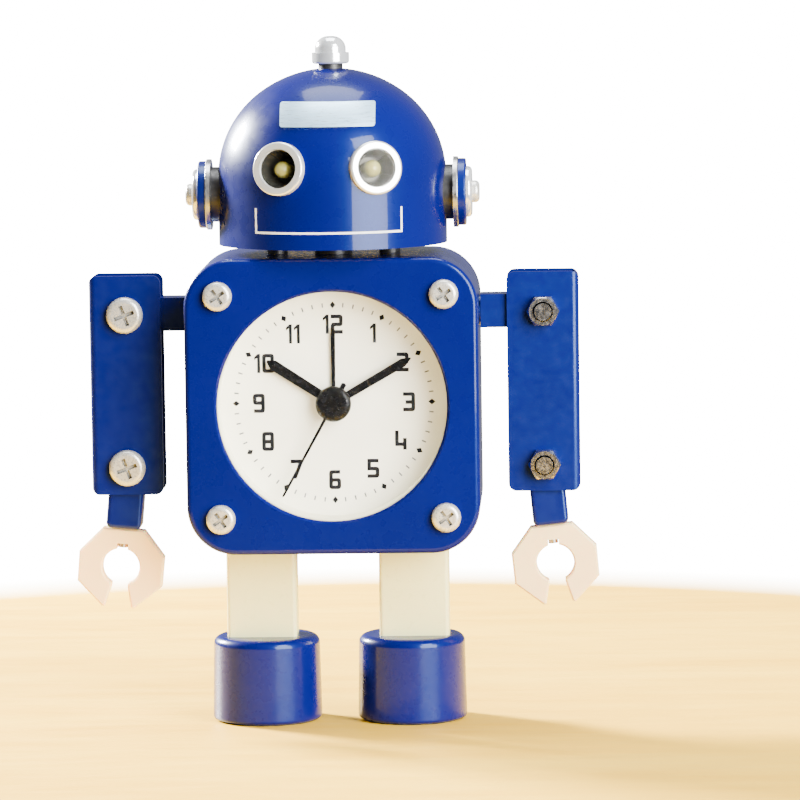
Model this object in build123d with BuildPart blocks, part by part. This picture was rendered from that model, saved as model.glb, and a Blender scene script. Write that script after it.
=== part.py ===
from build123d import *
import os
from math import acos, atan2, cos, degrees, radians, sin, sqrt

os.makedirs("parts", exist_ok=True)

# Robot-shaped quartz alarm clock, in millimetres. It faces -Y, +Z is up, and the origin is on the
# table under the middle of its box. "Left" and "right" are as seen from the front.
LEFT = -1
RIGHT = 1
SIDES = (LEFT, RIGHT)

# ---------------------------------------------------------------- driving dimensions
TOTAL_HEIGHT = 200.0

# feet and legs
FOOT_X = 21.3
FOOT_RADIUS = 16.0
FOOT_TOP_RADIUS = 15.5
FOOT_HEIGHT = 25.0
FOOT_WALL = 1.2
PAD_RADIUS = 14.4
PAD_HEIGHT = 3.0
FOOT_LIFT = 0.4
LEG_X = 22.3
LEG_WIDTH = 20.4
LEG_DEPTH = 12.0
LEG_WALL = 1.6
LEG_BOLT_X = 21.8

# body
BODY_BOTTOM = 51.5
BODY_WIDTH = 84.6
BODY_HEIGHT = 85.5
BODY_CORNER = 14.0
SHELL_WALL = 1.5
SHELL_HALF_DEPTH = 22.0
PLATE_THICKNESS = 2.0
OPENING_RADIUS = 33.2
CASE_SCREW_SPACING_X = 65.0
CASE_SCREW_SPACING_Z = 64.5
CASE_SCREW_RADIUS = 1.45
CASE_SCREW_LENGTH = 9.0
POST_RADIUS = 4.0
POST_LENGTH = 10.0

# dial and hands, counted from the middle of the clock towards the front
DIAL_Y = -10.5
DIAL_RADIUS = 36.0
DIAL_THICKNESS = 0.8
CRYSTAL_THICKNESS = 1.5
RUNNING_GAP = 0.05

# gear train
FINE_MODULE = 0.2
WHEEL_MODULE = 0.3
PINION_MODULE = 0.3125
SETTING_X = 7.5
ALARM_X = -7.8
THIRD_Z = 7.0
ROTOR_Z = 13.0

# head
HEAD_RIM_Z = 140.0
HEAD_RADIUS = 33.2
HEAD_WALL = 1.0
HEAD_WALL_HEIGHT = 19.25
SHOULDER_ARC = 30.8
CROWN_ARC = 35.0
EYE_X = 13.65
EYE_Z = 163.2
EYE_TURN = 20.0
EYE_TILT = 7.0
EYE_RING_RADIUS = 7.7
EYE_MOUTH_RADIUS = 5.65
EYE_RING_FRONT = 1.7
EYE_RING_ROUNDING = 0.7
BROW_WIDTH = 27.3
BROW_HEIGHT = 7.0
BROW_Z = 178.5
EAR_Z = 154.4
BUTTON_TRAVEL = 1.2
BUTTON_TAIL = 1.6

# arms
ARM_X = 60.8
SHOULDER_Z = 119.9
ELBOW_Z = 75.2
ARM_WIDTH = 20.9
ARM_TOP = 131.3
ARM_BOTTOM = 67.3
ARM_DEPTH = 12.0
ARM_SHEET = 1.2
BAR_HEIGHT = 9.7
BAR_DEPTH = 9.2
ARM_BOLT_RADIUS = 2.5
FOREARM_WIDTH = 10.3
FOREARM_REACH = 18.3
FOREARM_LEAN = 5.5
CLAW_HALF_WIDTH = 12.5
CLAW_HEIGHT = 23.2
CLAW_THICKNESS = 5.5
CLAW_HOLE_RADIUS = 5.45
CLAW_HOLE_DROP = 11.2
CLAW_SLOT = 4.8
CLAW_GAP = 0.2
CLAW_SCREW_RADIUS = 0.95
SCREW_HEAD_RADIUS = 1.4
SCREW_HEAD_HEIGHT = 1.2
SCREW_NOTCH = 2.0
NUT_APOTHEM = 4.15
NUT_HEIGHT = 4.0

# ---------------------------------------------------------------- derived places
BODY_Z = BODY_BOTTOM + BODY_HEIGHT / 2
BODY_TOP = BODY_BOTTOM + BODY_HEIGHT
FACE_Y = -SHELL_HALF_DEPTH - PLATE_THICKNESS
HEAD_TOP_OFFSET = SHOULDER_ARC - HEAD_RADIUS
BLEND_ANGLE = degrees(acos(-HEAD_TOP_OFFSET / (CROWN_ARC - SHOULDER_ARC)))
CROWN_CENTRE = HEAD_WALL_HEIGHT - (CROWN_ARC - SHOULDER_ARC) * sin(radians(BLEND_ANGLE))
HEAD_TOP_Z = HEAD_RIM_Z + CROWN_CENTRE + CROWN_ARC
EYE_SURFACE_RADIUS = -HEAD_TOP_OFFSET + sqrt(
    SHOULDER_ARC**2 - (EYE_Z - HEAD_RIM_Z - HEAD_WALL_HEIGHT) ** 2
)
EYE_Y = -sqrt(EYE_SURFACE_RADIUS**2 - EYE_X**2)
EYE_FACING = cos(radians(EYE_TURN)) * cos(radians(EYE_TILT))
# The eye rings reach furthest forward; the setting knobs reach as far back.
FRONT_REACH = (
    -EYE_Y
    + (EYE_RING_FRONT - EYE_RING_ROUNDING) * EYE_FACING
    + (EYE_RING_RADIUS - EYE_RING_ROUNDING) * sqrt(1 - EYE_FACING**2)
    + EYE_RING_ROUNDING
)
BATTERY_Z = BODY_Z - 23.5
LOWER_MIDDLE = (Align.CENTER, Align.CENTER, Align.MIN)

pieces = {}


def front_plane(y, x=0.0, z=0.0):
    """A plane that faces the front: its x is +X, its y is +Z, and it extrudes to the front."""
    return Plane(origin=(x, y, z), x_dir=(1, 0, 0), z_dir=(0, -1, 0))


def clock_plane(y):
    """A front plane centred on the dial."""
    return front_plane(y, 0, BODY_Z)


def side_plane(side, x, z):
    """A plane that faces outwards at the distance x on one side."""
    return Plane(origin=(side * x, 0, z), x_dir=(0, side, 0), z_dir=(side, 0, 0))


def floor_plane(x, y, z):
    """A plane that faces up."""
    return Plane(origin=(x, y, z), x_dir=(1, 0, 0), z_dir=(0, 0, 1))


def eye_plane(side):
    """A plane on the dome's surface that faces along one eye."""
    turn = radians(EYE_TURN)
    tilt = radians(EYE_TILT)
    return Plane(
        origin=(side * EYE_X, EYE_Y, EYE_Z),
        x_dir=(cos(turn), side * sin(turn), 0),
        z_dir=(side * sin(turn) * cos(tilt), -cos(turn) * cos(tilt), sin(tilt)),
    )


def elbow_plane(side):
    """A front plane at one elbow, leaning with the forearm: its -y runs down the forearm."""
    lean = radians(FOREARM_LEAN)
    return Plane(
        origin=(side * ARM_X, 0, ELBOW_Z),
        x_dir=(cos(lean), 0, side * sin(lean)),
        z_dir=(0, -1, 0),
    )


def turned(plane, angle):
    """The same plane with its x and y turned about its normal."""
    return Plane(
        origin=plane.origin,
        x_dir=plane.x_dir * cos(radians(angle)) + plane.y_dir * sin(radians(angle)),
        z_dir=plane.z_dir,
    )


def side_name(side, name):
    return ("left_" if side == LEFT else "right_") + name


def screw(plane, head_radius, head_height, shank_radius, shank_length, slot=0.8):
    """A pan-head cross screw whose head stands on a plane and whose shank goes into it."""
    with BuildPart() as body:
        with Locations(plane):
            Cylinder(head_radius, head_height, align=LOWER_MIDDLE)
        circles = body.edges().filter_by(GeomType.CIRCLE)
        rim = circles.sort_by(lambda edge: -plane.to_local_coords(edge.center()).Z)
        fillet(rim[0], head_height * 0.6)
        with Locations(plane.offset(-shank_length)):
            Cylinder(shank_radius, shank_length, align=LOWER_MIDDLE)
        with Locations(plane.offset(head_height * 0.45)):
            Box(head_radius * 1.15, slot, head_height, align=LOWER_MIDDLE, mode=Mode.SUBTRACT)
            Box(slot, head_radius * 1.15, head_height, align=LOWER_MIDDLE, mode=Mode.SUBTRACT)
    return body.part


def group(name, members):
    """Separate solids kept together as one node."""
    with BuildPart() as together:
        for member in members:
            add(member)
    pieces[name] = together


# ---------------------------------------------------------------- feet and legs
def foot(side):
    """A drawn cup, open below, with an off-centre hole for the leg bolt."""
    with BuildPart() as cup:
        with BuildSketch(Plane.XZ):
            with BuildLine():
                Polyline(
                    (0, FOOT_LIFT),
                    (FOOT_RADIUS, FOOT_LIFT),
                    (FOOT_TOP_RADIUS, FOOT_HEIGHT),
                    (0, FOOT_HEIGHT),
                    close=True,
                )
            make_face()
        revolve(axis=Axis.Z)
        fillet(cup.edges().filter_by(GeomType.CIRCLE).sort_by(Axis.Z)[-1], 2.4)
        fillet(cup.edges().filter_by(GeomType.CIRCLE).sort_by(Axis.Z)[0], 1.0)
        with BuildSketch(Plane.XZ):
            with BuildLine():
                Polyline(
                    (0, FOOT_LIFT),
                    (FOOT_RADIUS - FOOT_WALL, FOOT_LIFT),
                    (FOOT_TOP_RADIUS - FOOT_WALL - 1.0, FOOT_HEIGHT - FOOT_WALL),
                    (0, FOOT_HEIGHT - FOOT_WALL),
                    close=True,
                )
            make_face()
        revolve(axis=Axis.Z, mode=Mode.SUBTRACT)
        with Locations((side * (LEG_BOLT_X - FOOT_X), 0, FOOT_HEIGHT)):
            Hole(2.05, depth=5)
    return Pos(side * FOOT_X, 0, 0) * cup.part


group("feet", [foot(side) for side in SIDES])

with BuildPart() as foot_pads:
    for side in SIDES:
        with Locations((side * FOOT_X, 0, 0)):
            Cylinder(PAD_RADIUS, PAD_HEIGHT, align=LOWER_MIDDLE)
pieces["foot_pads"] = foot_pads

with BuildPart() as legs:
    with BuildSketch(Plane.XY.offset(FOOT_HEIGHT)):
        for side in SIDES:
            with Locations((side * LEG_X, 0)):
                RectangleRounded(LEG_WIDTH, LEG_DEPTH, 1.2)
    extrude(amount=BODY_BOTTOM - FOOT_HEIGHT)
    with BuildSketch(Plane.XY.offset(FOOT_HEIGHT)):
        for side in SIDES:
            with Locations((side * LEG_X, 0)):
                Rectangle(LEG_WIDTH - 2 * LEG_WALL, LEG_DEPTH - 2 * LEG_WALL)
    extrude(amount=BODY_BOTTOM - FOOT_HEIGHT, mode=Mode.SUBTRACT)
pieces["legs"] = legs

# M4 bolts: a long one down each leg with its head inside the foot, and a short one up through each
# neck spacer with its head inside the body and a nut on the head's base plate.
NECK_BOLT_X = 16.4
HEAD_BASE_Z = 142.0
HEAD_BASE_WALL = 1.2
frame_bolts = []
for side in SIDES:
    under_foot = Plane(
        origin=(side * LEG_BOLT_X, 0, FOOT_HEIGHT - FOOT_WALL), x_dir=(1, 0, 0), z_dir=(0, 0, -1)
    )
    frame_bolts.append(screw(under_foot, 3.8, 2.4, 2.0, 33.5))
    under_roof = Plane(
        origin=(side * NECK_BOLT_X, 0, BODY_TOP - SHELL_WALL), x_dir=(1, 0, 0), z_dir=(0, 0, -1)
    )
    frame_bolts.append(screw(under_roof, 3.6, 2.2, 1.7, HEAD_BASE_Z + 5.5 - BODY_TOP + SHELL_WALL))
    with BuildPart() as base_nut:
        with BuildSketch(floor_plane(side * NECK_BOLT_X, 0, HEAD_BASE_Z + HEAD_BASE_WALL)):
            RegularPolygon(3.0, 6, major_radius=False)
            Circle(1.7 + RUNNING_GAP, mode=Mode.SUBTRACT)
        extrude(amount=2.6)
    frame_bolts.append(base_nut.part)
group("frame_bolts", frame_bolts)

# ---------------------------------------------------------------- body shell and plates
SCREW_GRID = (CASE_SCREW_SPACING_X, CASE_SCREW_SPACING_Z, 2, 2)
JOURNAL_RADIUS = 4.4
JOURNAL_END_X = 36.9
NECK_RADIUS = 5.5
corner_x = BODY_WIDTH / 2 - BODY_CORNER
corner_z = BODY_HEIGHT / 2 - BODY_CORNER
web_angle = atan2(CASE_SCREW_SPACING_Z / 2 - corner_z, CASE_SCREW_SPACING_X / 2 - corner_x)
web_reach = BODY_CORNER - SHELL_WALL / 2
web_inner = (CASE_SCREW_SPACING_X / 2, CASE_SCREW_SPACING_Z / 2)
web_outer = (corner_x + web_reach * cos(web_angle), corner_z + web_reach * sin(web_angle))
web_length = sqrt((web_outer[0] - web_inner[0]) ** 2 + (web_outer[1] - web_inner[1]) ** 2)

with BuildPart() as body_shell:
    with BuildSketch(clock_plane(SHELL_HALF_DEPTH)):
        RectangleRounded(BODY_WIDTH, BODY_HEIGHT, BODY_CORNER)
        RectangleRounded(
            BODY_WIDTH - 2 * SHELL_WALL,
            BODY_HEIGHT - 2 * SHELL_WALL,
            BODY_CORNER - SHELL_WALL,
            mode=Mode.SUBTRACT,
        )
    extrude(amount=2 * SHELL_HALF_DEPTH)
    for post_start in (SHELL_HALF_DEPTH, -SHELL_HALF_DEPTH + POST_LENGTH):
        with BuildSketch(clock_plane(post_start)):
            with GridLocations(*SCREW_GRID):
                Circle(POST_RADIUS)
            for x_sign in SIDES:
                for z_sign in SIDES:
                    middle_x = x_sign * (web_inner[0] + web_outer[0]) / 2
                    middle_z = z_sign * (web_inner[1] + web_outer[1]) / 2
                    with Locations((middle_x, middle_z)):
                        Rectangle(web_length, 3, rotation=x_sign * z_sign * degrees(web_angle))
        extrude(amount=POST_LENGTH)
    with BuildSketch(clock_plane(SHELL_HALF_DEPTH)):
        with GridLocations(*SCREW_GRID):
            Circle(CASE_SCREW_RADIUS + RUNNING_GAP)
    extrude(amount=2 * SHELL_HALF_DEPTH, mode=Mode.SUBTRACT)
    for side in SIDES:
        with Locations(side_plane(side, JOURNAL_END_X, SHOULDER_Z)):
            Cylinder(7, BODY_WIDTH / 2 - SHELL_WALL / 2 - JOURNAL_END_X, align=LOWER_MIDDLE)
        with Locations(floor_plane(side * LEG_BOLT_X, 0, BODY_BOTTOM + SHELL_WALL / 2)):
            Cylinder(5, 5.5, align=LOWER_MIDDLE)
        with Locations(side_plane(side, JOURNAL_END_X - 1, SHOULDER_Z)):
            Cylinder(JOURNAL_RADIUS + RUNNING_GAP, 8, align=LOWER_MIDDLE, mode=Mode.SUBTRACT)
        with Locations(floor_plane(side * LEG_BOLT_X, 0, BODY_BOTTOM - 1)):
            Cylinder(2.0 + RUNNING_GAP, 8, align=LOWER_MIDDLE, mode=Mode.SUBTRACT)
        with Locations(floor_plane(side * NECK_BOLT_X, 0, BODY_TOP - 3)):
            Cylinder(1.7 + RUNNING_GAP, 4, align=LOWER_MIDDLE, mode=Mode.SUBTRACT)
    with Locations(floor_plane(0, 0, BODY_TOP - 3)):
        Cylinder(NECK_RADIUS + RUNNING_GAP, 4, align=LOWER_MIDDLE, mode=Mode.SUBTRACT)
pieces["body_shell"] = body_shell

with BuildPart() as front_plate:
    with BuildSketch(clock_plane(-SHELL_HALF_DEPTH)):
        RectangleRounded(BODY_WIDTH, BODY_HEIGHT, BODY_CORNER)
    extrude(amount=PLATE_THICKNESS)
    fillet(front_plate.faces().sort_by(Axis.Y)[0].edges(), 1.5)
    with BuildSketch(clock_plane(-SHELL_HALF_DEPTH)):
        Circle(OPENING_RADIUS)
        with GridLocations(*SCREW_GRID):
            Circle(CASE_SCREW_RADIUS + RUNNING_GAP)
    extrude(amount=PLATE_THICKNESS, mode=Mode.SUBTRACT)
    opening_edge = front_plate.faces().sort_by(Axis.Y)[0].edges().filter_by(GeomType.CIRCLE)
    chamfer(opening_edge.sort_by(lambda edge: -edge.radius)[0], 0.7)
pieces["front_plate"] = front_plate

BAY_WIDTH = 56.0
BAY_HEIGHT = 18.0
DOOR_WIDTH = 52.6
DOOR_HEIGHT = 14.9
SWITCH_X = 14.0
SWITCH_Z = BODY_Z + 24.0
SWITCH_TRAVEL = 4.0
STEM_RADIUS = 1.2

with BuildPart() as back_cover:
    with BuildSketch(clock_plane(SHELL_HALF_DEPTH + PLATE_THICKNESS)):
        RectangleRounded(BODY_WIDTH, BODY_HEIGHT, BODY_CORNER)
    extrude(amount=PLATE_THICKNESS)
    fillet(back_cover.faces().sort_by(Axis.Y)[-1].edges(), 1.2)
    with BuildSketch(clock_plane(SHELL_HALF_DEPTH + PLATE_THICKNESS)):
        with GridLocations(*SCREW_GRID):
            Circle(CASE_SCREW_RADIUS + RUNNING_GAP)
        with Locations((0, BATTERY_Z - BODY_Z)):
            Rectangle(BAY_WIDTH + 0.4, BAY_HEIGHT + 0.4)
        with Locations((SETTING_X, 0), (ALARM_X, 0)):
            Circle(STEM_RADIUS + 0.4)
        with Locations((SWITCH_X + SWITCH_TRAVEL / 2, SWITCH_Z - BODY_Z)):
            Rectangle(SWITCH_TRAVEL + 3.6, 3.6)
    extrude(amount=PLATE_THICKNESS, mode=Mode.SUBTRACT)
pieces["back_cover"] = back_cover

case_screws = []
for x_sign in SIDES:
    for z_sign in SIDES:
        screw_x = x_sign * CASE_SCREW_SPACING_X / 2
        screw_z = BODY_Z + z_sign * CASE_SCREW_SPACING_Z / 2
        front_head = front_plane(FACE_Y, screw_x, screw_z)
        back_head = Plane(origin=(screw_x, -FACE_Y, screw_z), x_dir=(-1, 0, 0), z_dir=(0, 1, 0))
        shank = PLATE_THICKNESS + CASE_SCREW_LENGTH
        case_screws.append(screw(turned(front_head, 35), 4.25, 2.5, CASE_SCREW_RADIUS, shank, 1.0))
        case_screws.append(screw(back_head, 4.25, 2.5, CASE_SCREW_RADIUS, shank, 1.0))
group("case_screws", case_screws)

# ---------------------------------------------------------------- crystal, recess ring and dial
RING_INNER = OPENING_RADIUS - 0.2
with BuildPart() as crystal:
    with BuildSketch(clock_plane(-SHELL_HALF_DEPTH + CRYSTAL_THICKNESS)):
        Circle(35.0)
    extrude(amount=CRYSTAL_THICKNESS)
pieces["crystal"] = crystal

with BuildPart() as dial_ring:
    with BuildSketch(clock_plane(DIAL_Y)):
        Circle(37.0)
        Circle(RING_INNER, mode=Mode.SUBTRACT)
    extrude(amount=SHELL_HALF_DEPTH + DIAL_Y)
    with BuildSketch(clock_plane(-SHELL_HALF_DEPTH + CRYSTAL_THICKNESS)):
        Circle(35.0 + RUNNING_GAP)
    extrude(amount=CRYSTAL_THICKNESS, mode=Mode.SUBTRACT)
pieces["dial_ring"] = dial_ring

CENTRE_TUBE_RADIUS = 4.4
with BuildPart() as dial:
    with BuildSketch(clock_plane(DIAL_Y + DIAL_THICKNESS)):
        Circle(DIAL_RADIUS)
        Circle(CENTRE_TUBE_RADIUS + 0.1, mode=Mode.SUBTRACT)
    extrude(amount=DIAL_THICKNESS)
pieces["dial"] = dial

# ---------------------------------------------------------------- movement case
# Concentric shafts at the dial's centre, each running in the next: second, minute, hour, alarm.
SECOND_ARBOR = 0.75
MINUTE_BORE = SECOND_ARBOR + RUNNING_GAP
MINUTE_PIPE = 1.4
HOUR_BORE = MINUTE_PIPE + RUNNING_GAP
HOUR_PIPE = 2.1
ALARM_BORE = HOUR_PIPE + RUNNING_GAP
ALARM_PIPE = 2.9
PIVOT = 0.6
CASE_FRONT_Y = DIAL_Y + DIAL_THICKNESS
CASE_WALL = 1.2
GEAR_PLATE_Y = 7.0
BAY_WALL = 1.4
BAY_BACK_Y = SHELL_HALF_DEPTH + PLATE_THICKNESS
MOVEMENT_WIDTH = 56.0
MOVEMENT_BOTTOM = BATTERY_Z - BAY_HEIGHT / 2
MOVEMENT_TOP = BODY_Z + 28.0
MOVEMENT_HEIGHT = MOVEMENT_TOP - MOVEMENT_BOTTOM
MOVEMENT_MIDDLE = (MOVEMENT_TOP + MOVEMENT_BOTTOM) / 2

pivots = (
    (SETTING_X, BODY_Z, PIVOT),
    (ALARM_X, BODY_Z, PIVOT),
    (0, BODY_Z + THIRD_Z, PIVOT),
    (0, BODY_Z + ROTOR_Z, PIVOT),
)

with BuildPart() as movement_front:
    with BuildSketch(front_plane(GEAR_PLATE_Y, 0, MOVEMENT_MIDDLE)):
        RectangleRounded(MOVEMENT_WIDTH, MOVEMENT_HEIGHT, 3)
    extrude(amount=GEAR_PLATE_Y - CASE_FRONT_Y)
    with BuildSketch(front_plane(GEAR_PLATE_Y, 0, MOVEMENT_MIDDLE)):
        RectangleRounded(MOVEMENT_WIDTH - 2 * CASE_WALL, MOVEMENT_HEIGHT - 2 * CASE_WALL, 2)
    extrude(amount=GEAR_PLATE_Y - CASE_FRONT_Y - CASE_WALL, mode=Mode.SUBTRACT)
    with Locations(clock_plane(CASE_FRONT_Y)):
        Cylinder(CENTRE_TUBE_RADIUS, DIAL_THICKNESS + 0.4, align=LOWER_MIDDLE)
    with Locations(clock_plane(CASE_FRONT_Y + CASE_WALL + 1)):
        Cylinder(ALARM_PIPE + RUNNING_GAP, 6, align=LOWER_MIDDLE, mode=Mode.SUBTRACT)
    for pivot_x, pivot_z, pivot_radius in pivots:
        with Locations(front_plane(CASE_FRONT_Y + CASE_WALL + 1, pivot_x, pivot_z)):
            Cylinder(pivot_radius + RUNNING_GAP, 1.6, align=LOWER_MIDDLE, mode=Mode.SUBTRACT)
pieces["movement_front"] = movement_front

with BuildPart() as movement_back:
    with BuildSketch(front_plane(GEAR_PLATE_Y + CASE_WALL, 0, MOVEMENT_MIDDLE)):
        RectangleRounded(MOVEMENT_WIDTH, MOVEMENT_HEIGHT, 3)
    extrude(amount=CASE_WALL)
    with BuildSketch(front_plane(BAY_BACK_Y, 0, BATTERY_Z)):
        Rectangle(BAY_WIDTH, BAY_HEIGHT)
        Rectangle(BAY_WIDTH - 2 * BAY_WALL, BAY_HEIGHT - 2 * BAY_WALL, mode=Mode.SUBTRACT)
    extrude(amount=BAY_BACK_Y - GEAR_PLATE_Y - CASE_WALL)
    with Locations(front_plane(GEAR_PLATE_Y + CASE_WALL, -16, BODY_Z + 18)):
        Cylinder(2, 2.3, align=(Align.CENTER, Align.CENTER, Align.MAX))
    with Locations(front_plane(GEAR_PLATE_Y + CASE_WALL, 16, BODY_Z + 18)):
        Cylinder(2, 2.3, align=(Align.CENTER, Align.CENTER, Align.MAX))
    for stem_x in (SETTING_X, ALARM_X):
        with Locations(front_plane(GEAR_PLATE_Y + CASE_WALL + 1, stem_x, BODY_Z)):
            Cylinder(STEM_RADIUS + RUNNING_GAP, 3, align=LOWER_MIDDLE, mode=Mode.SUBTRACT)
    for pivot_z, pivot_radius in ((0, SECOND_ARBOR), (THIRD_Z, PIVOT), (ROTOR_Z, PIVOT)):
        with Locations(clock_plane(GEAR_PLATE_Y + CASE_WALL - 0.2)):
            with Locations((0, pivot_z, 0)):
                Cylinder(pivot_radius + RUNNING_GAP, 3, align=LOWER_MIDDLE, mode=Mode.SUBTRACT)
pieces["movement_back"] = movement_back


# ---------------------------------------------------------------- gears
def mesh_phase(teeth_a, phase_a, teeth_b, direction):
    """Turn that puts a gap of gear b on the line of centres where gear a has a tooth."""
    pitch_a = 360 / teeth_a
    pitch_b = 360 / teeth_b
    offset = ((direction - phase_a) / pitch_a) % 1
    return direction + 180 - pitch_b * (0.5 - offset)


def gear_points(teeth, module, phase):
    """Outline of a small clock gear, four points a tooth, with free running backlash."""
    pitch_radius = teeth * module / 2
    tip_radius = pitch_radius + 0.80 * module
    root_radius = pitch_radius - 1.10 * module
    tooth = 360 / teeth
    points = []
    for index in range(teeth):
        middle = phase + index * tooth
        flank = ((root_radius, -0.30), (tip_radius, -0.10), (tip_radius, 0.10), (root_radius, 0.30))
        for radius, share in flank:
            angle = radians(middle + share * tooth)
            points.append((radius * cos(angle), radius * sin(angle)))
    return points


def add_gear(y, x, z, teeth, module, phase, thickness):
    """Add a gear that faces the front, from y towards the front."""
    with BuildSketch(front_plane(y, x, z)) as outline:
        with BuildLine():
            Polyline(*gear_points(teeth, module, phase), close=True)
        make_face()
    extrude(outline.sketch, amount=thickness)


def add_rod(y_back, y_front, x, z, radius, mode=Mode.ADD):
    """Add a round rod along Y between two depths."""
    with Locations(front_plane(y_back, x, z)):
        Cylinder(radius, y_back - y_front, align=LOWER_MIDDLE, mode=mode)


# Depths of the gear layers, each named by its back face.
ALARM_WHEEL_Y = -6.9
HOUR_WHEEL_Y = -5.2
MINUTE_PINION_Y = -3.0
SECONDS_WHEEL_Y = -1.0
THIRD_WHEEL_Y = 1.0
WHEEL_THICKNESS = 1.0

# Depths of the hands, each named by its back face.
ALARM_HAND_Y = DIAL_Y - 0.7
HOUR_HAND_Y = DIAL_Y - 1.6
MINUTE_HAND_Y = DIAL_Y - 2.6
SECOND_HAND_Y = DIAL_Y - 3.6
HAND_THICKNESS = 0.5

setting_phase = mesh_phase(12, 0, 36, 0)
hour_phase = mesh_phase(10, setting_phase, 40, 180)
alarm_pinion_phase = mesh_phase(40, 0, 12, 180)
third_phase = mesh_phase(60, 0, 10, 90)
rotor_phase = mesh_phase(50, third_phase, 10, 90)

with BuildPart() as alarm_wheel:
    add_gear(ALARM_WHEEL_Y, 0, BODY_Z, 40, WHEEL_MODULE, 0, WHEEL_THICKNESS)
    add_rod(ALARM_WHEEL_Y, ALARM_HAND_Y - HAND_THICKNESS, 0, BODY_Z, ALARM_PIPE)
    add_rod(ALARM_WHEEL_Y + 1, ALARM_HAND_Y - 2, 0, BODY_Z, ALARM_BORE, Mode.SUBTRACT)
pieces["alarm_wheel"] = alarm_wheel

with BuildPart() as hour_wheel:
    add_gear(HOUR_WHEEL_Y, 0, BODY_Z, 40, WHEEL_MODULE, hour_phase, WHEEL_THICKNESS)
    add_rod(HOUR_WHEEL_Y, HOUR_HAND_Y - HAND_THICKNESS, 0, BODY_Z, HOUR_PIPE)
    add_rod(HOUR_WHEEL_Y + 1, HOUR_HAND_Y - 2, 0, BODY_Z, HOUR_BORE, Mode.SUBTRACT)
pieces["hour_wheel"] = hour_wheel

with BuildPart() as minute_pipe:
    add_gear(MINUTE_PINION_Y, 0, BODY_Z, 12, PINION_MODULE, 0, 1.6)
    add_rod(MINUTE_PINION_Y, MINUTE_HAND_Y - HAND_THICKNESS, 0, BODY_Z, MINUTE_PIPE)
    add_rod(MINUTE_PINION_Y + 1, MINUTE_HAND_Y - 2, 0, BODY_Z, MINUTE_BORE, Mode.SUBTRACT)
pieces["minute_pipe"] = minute_pipe

with BuildPart() as seconds_wheel:
    add_gear(SECONDS_WHEEL_Y, 0, BODY_Z, 60, FINE_MODULE, 0, 0.8)
    add_rod(SECONDS_WHEEL_Y, SECOND_HAND_Y - HAND_THICKNESS, 0, BODY_Z, SECOND_ARBOR)
    add_rod(GEAR_PLATE_Y + 0.8, SECONDS_WHEEL_Y, 0, BODY_Z, SECOND_ARBOR)
pieces["seconds_wheel"] = seconds_wheel

with BuildPart() as third_wheel:
    add_gear(SECONDS_WHEEL_Y + 0.3, 0, BODY_Z + THIRD_Z, 10, FINE_MODULE, third_phase, 1.4)
    add_gear(THIRD_WHEEL_Y, 0, BODY_Z + THIRD_Z, 50, FINE_MODULE, third_phase, 0.8)
    add_rod(GEAR_PLATE_Y + 0.8, CASE_FRONT_Y + CASE_WALL - 0.4, 0, BODY_Z + THIRD_Z, 0.55)
pieces["third_wheel"] = third_wheel

with BuildPart() as rotor:
    add_gear(THIRD_WHEEL_Y + 0.3, 0, BODY_Z + ROTOR_Z, 10, FINE_MODULE, rotor_phase, 1.4)
    add_rod(THIRD_WHEEL_Y + 3.5, THIRD_WHEEL_Y + 0.8, 0, BODY_Z + ROTOR_Z, 3.0)
    add_rod(THIRD_WHEEL_Y + 0.8, THIRD_WHEEL_Y + 0.3, 0, BODY_Z + ROTOR_Z, 0.7)
    add_rod(GEAR_PLATE_Y + 0.8, CASE_FRONT_Y + CASE_WALL - 0.4, 0, BODY_Z + ROTOR_Z, 0.55)
pieces["rotor"] = rotor

KNOB_RADIUS = 6.4
KNOB_GAP = 0.6
KNOB_RIBS = 24


def add_knob(stem_x, front_y):
    """Add a ribbed knob on a stem that comes out through the back cover."""
    knob_start = SHELL_HALF_DEPTH + PLATE_THICKNESS + KNOB_GAP
    with BuildSketch(front_plane(FRONT_REACH, stem_x, BODY_Z)) as outline:
        Circle(KNOB_RADIUS)
        with PolarLocations(KNOB_RADIUS + 0.25, KNOB_RIBS):
            Circle(0.55, mode=Mode.SUBTRACT)
    extrude(outline.sketch, amount=FRONT_REACH - knob_start - 3)
    add_rod(FRONT_REACH - 1, knob_start, stem_x, BODY_Z, KNOB_RADIUS - 1.2)
    add_rod(FRONT_REACH - 2, front_y, stem_x, BODY_Z, STEM_RADIUS)


with BuildPart() as time_set_knob:
    add_knob(SETTING_X, MINUTE_PINION_Y)
    add_gear(MINUTE_PINION_Y - 0.3, SETTING_X, BODY_Z, 36, PINION_MODULE, setting_phase, WHEEL_THICKNESS)
    add_gear(MINUTE_PINION_Y, SETTING_X, BODY_Z, 10, WHEEL_MODULE, setting_phase, 3.5)
    add_rod(MINUTE_PINION_Y, MINUTE_PINION_Y - 0.3, SETTING_X, BODY_Z, STEM_RADIUS)
    add_rod(MINUTE_PINION_Y - 3.4, CASE_FRONT_Y + CASE_WALL - 0.4, SETTING_X, BODY_Z, 0.55)
pieces["time_set_knob"] = time_set_knob

with BuildPart() as alarm_set_knob:
    add_knob(ALARM_X, ALARM_WHEEL_Y)
    add_gear(ALARM_WHEEL_Y + 0.2, ALARM_X, BODY_Z, 12, WHEEL_MODULE, alarm_pinion_phase, 1.4)
    add_rod(ALARM_WHEEL_Y - 1, CASE_FRONT_Y + CASE_WALL - 0.4, ALARM_X, BODY_Z, 0.55)
pieces["alarm_set_knob"] = alarm_set_knob


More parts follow.
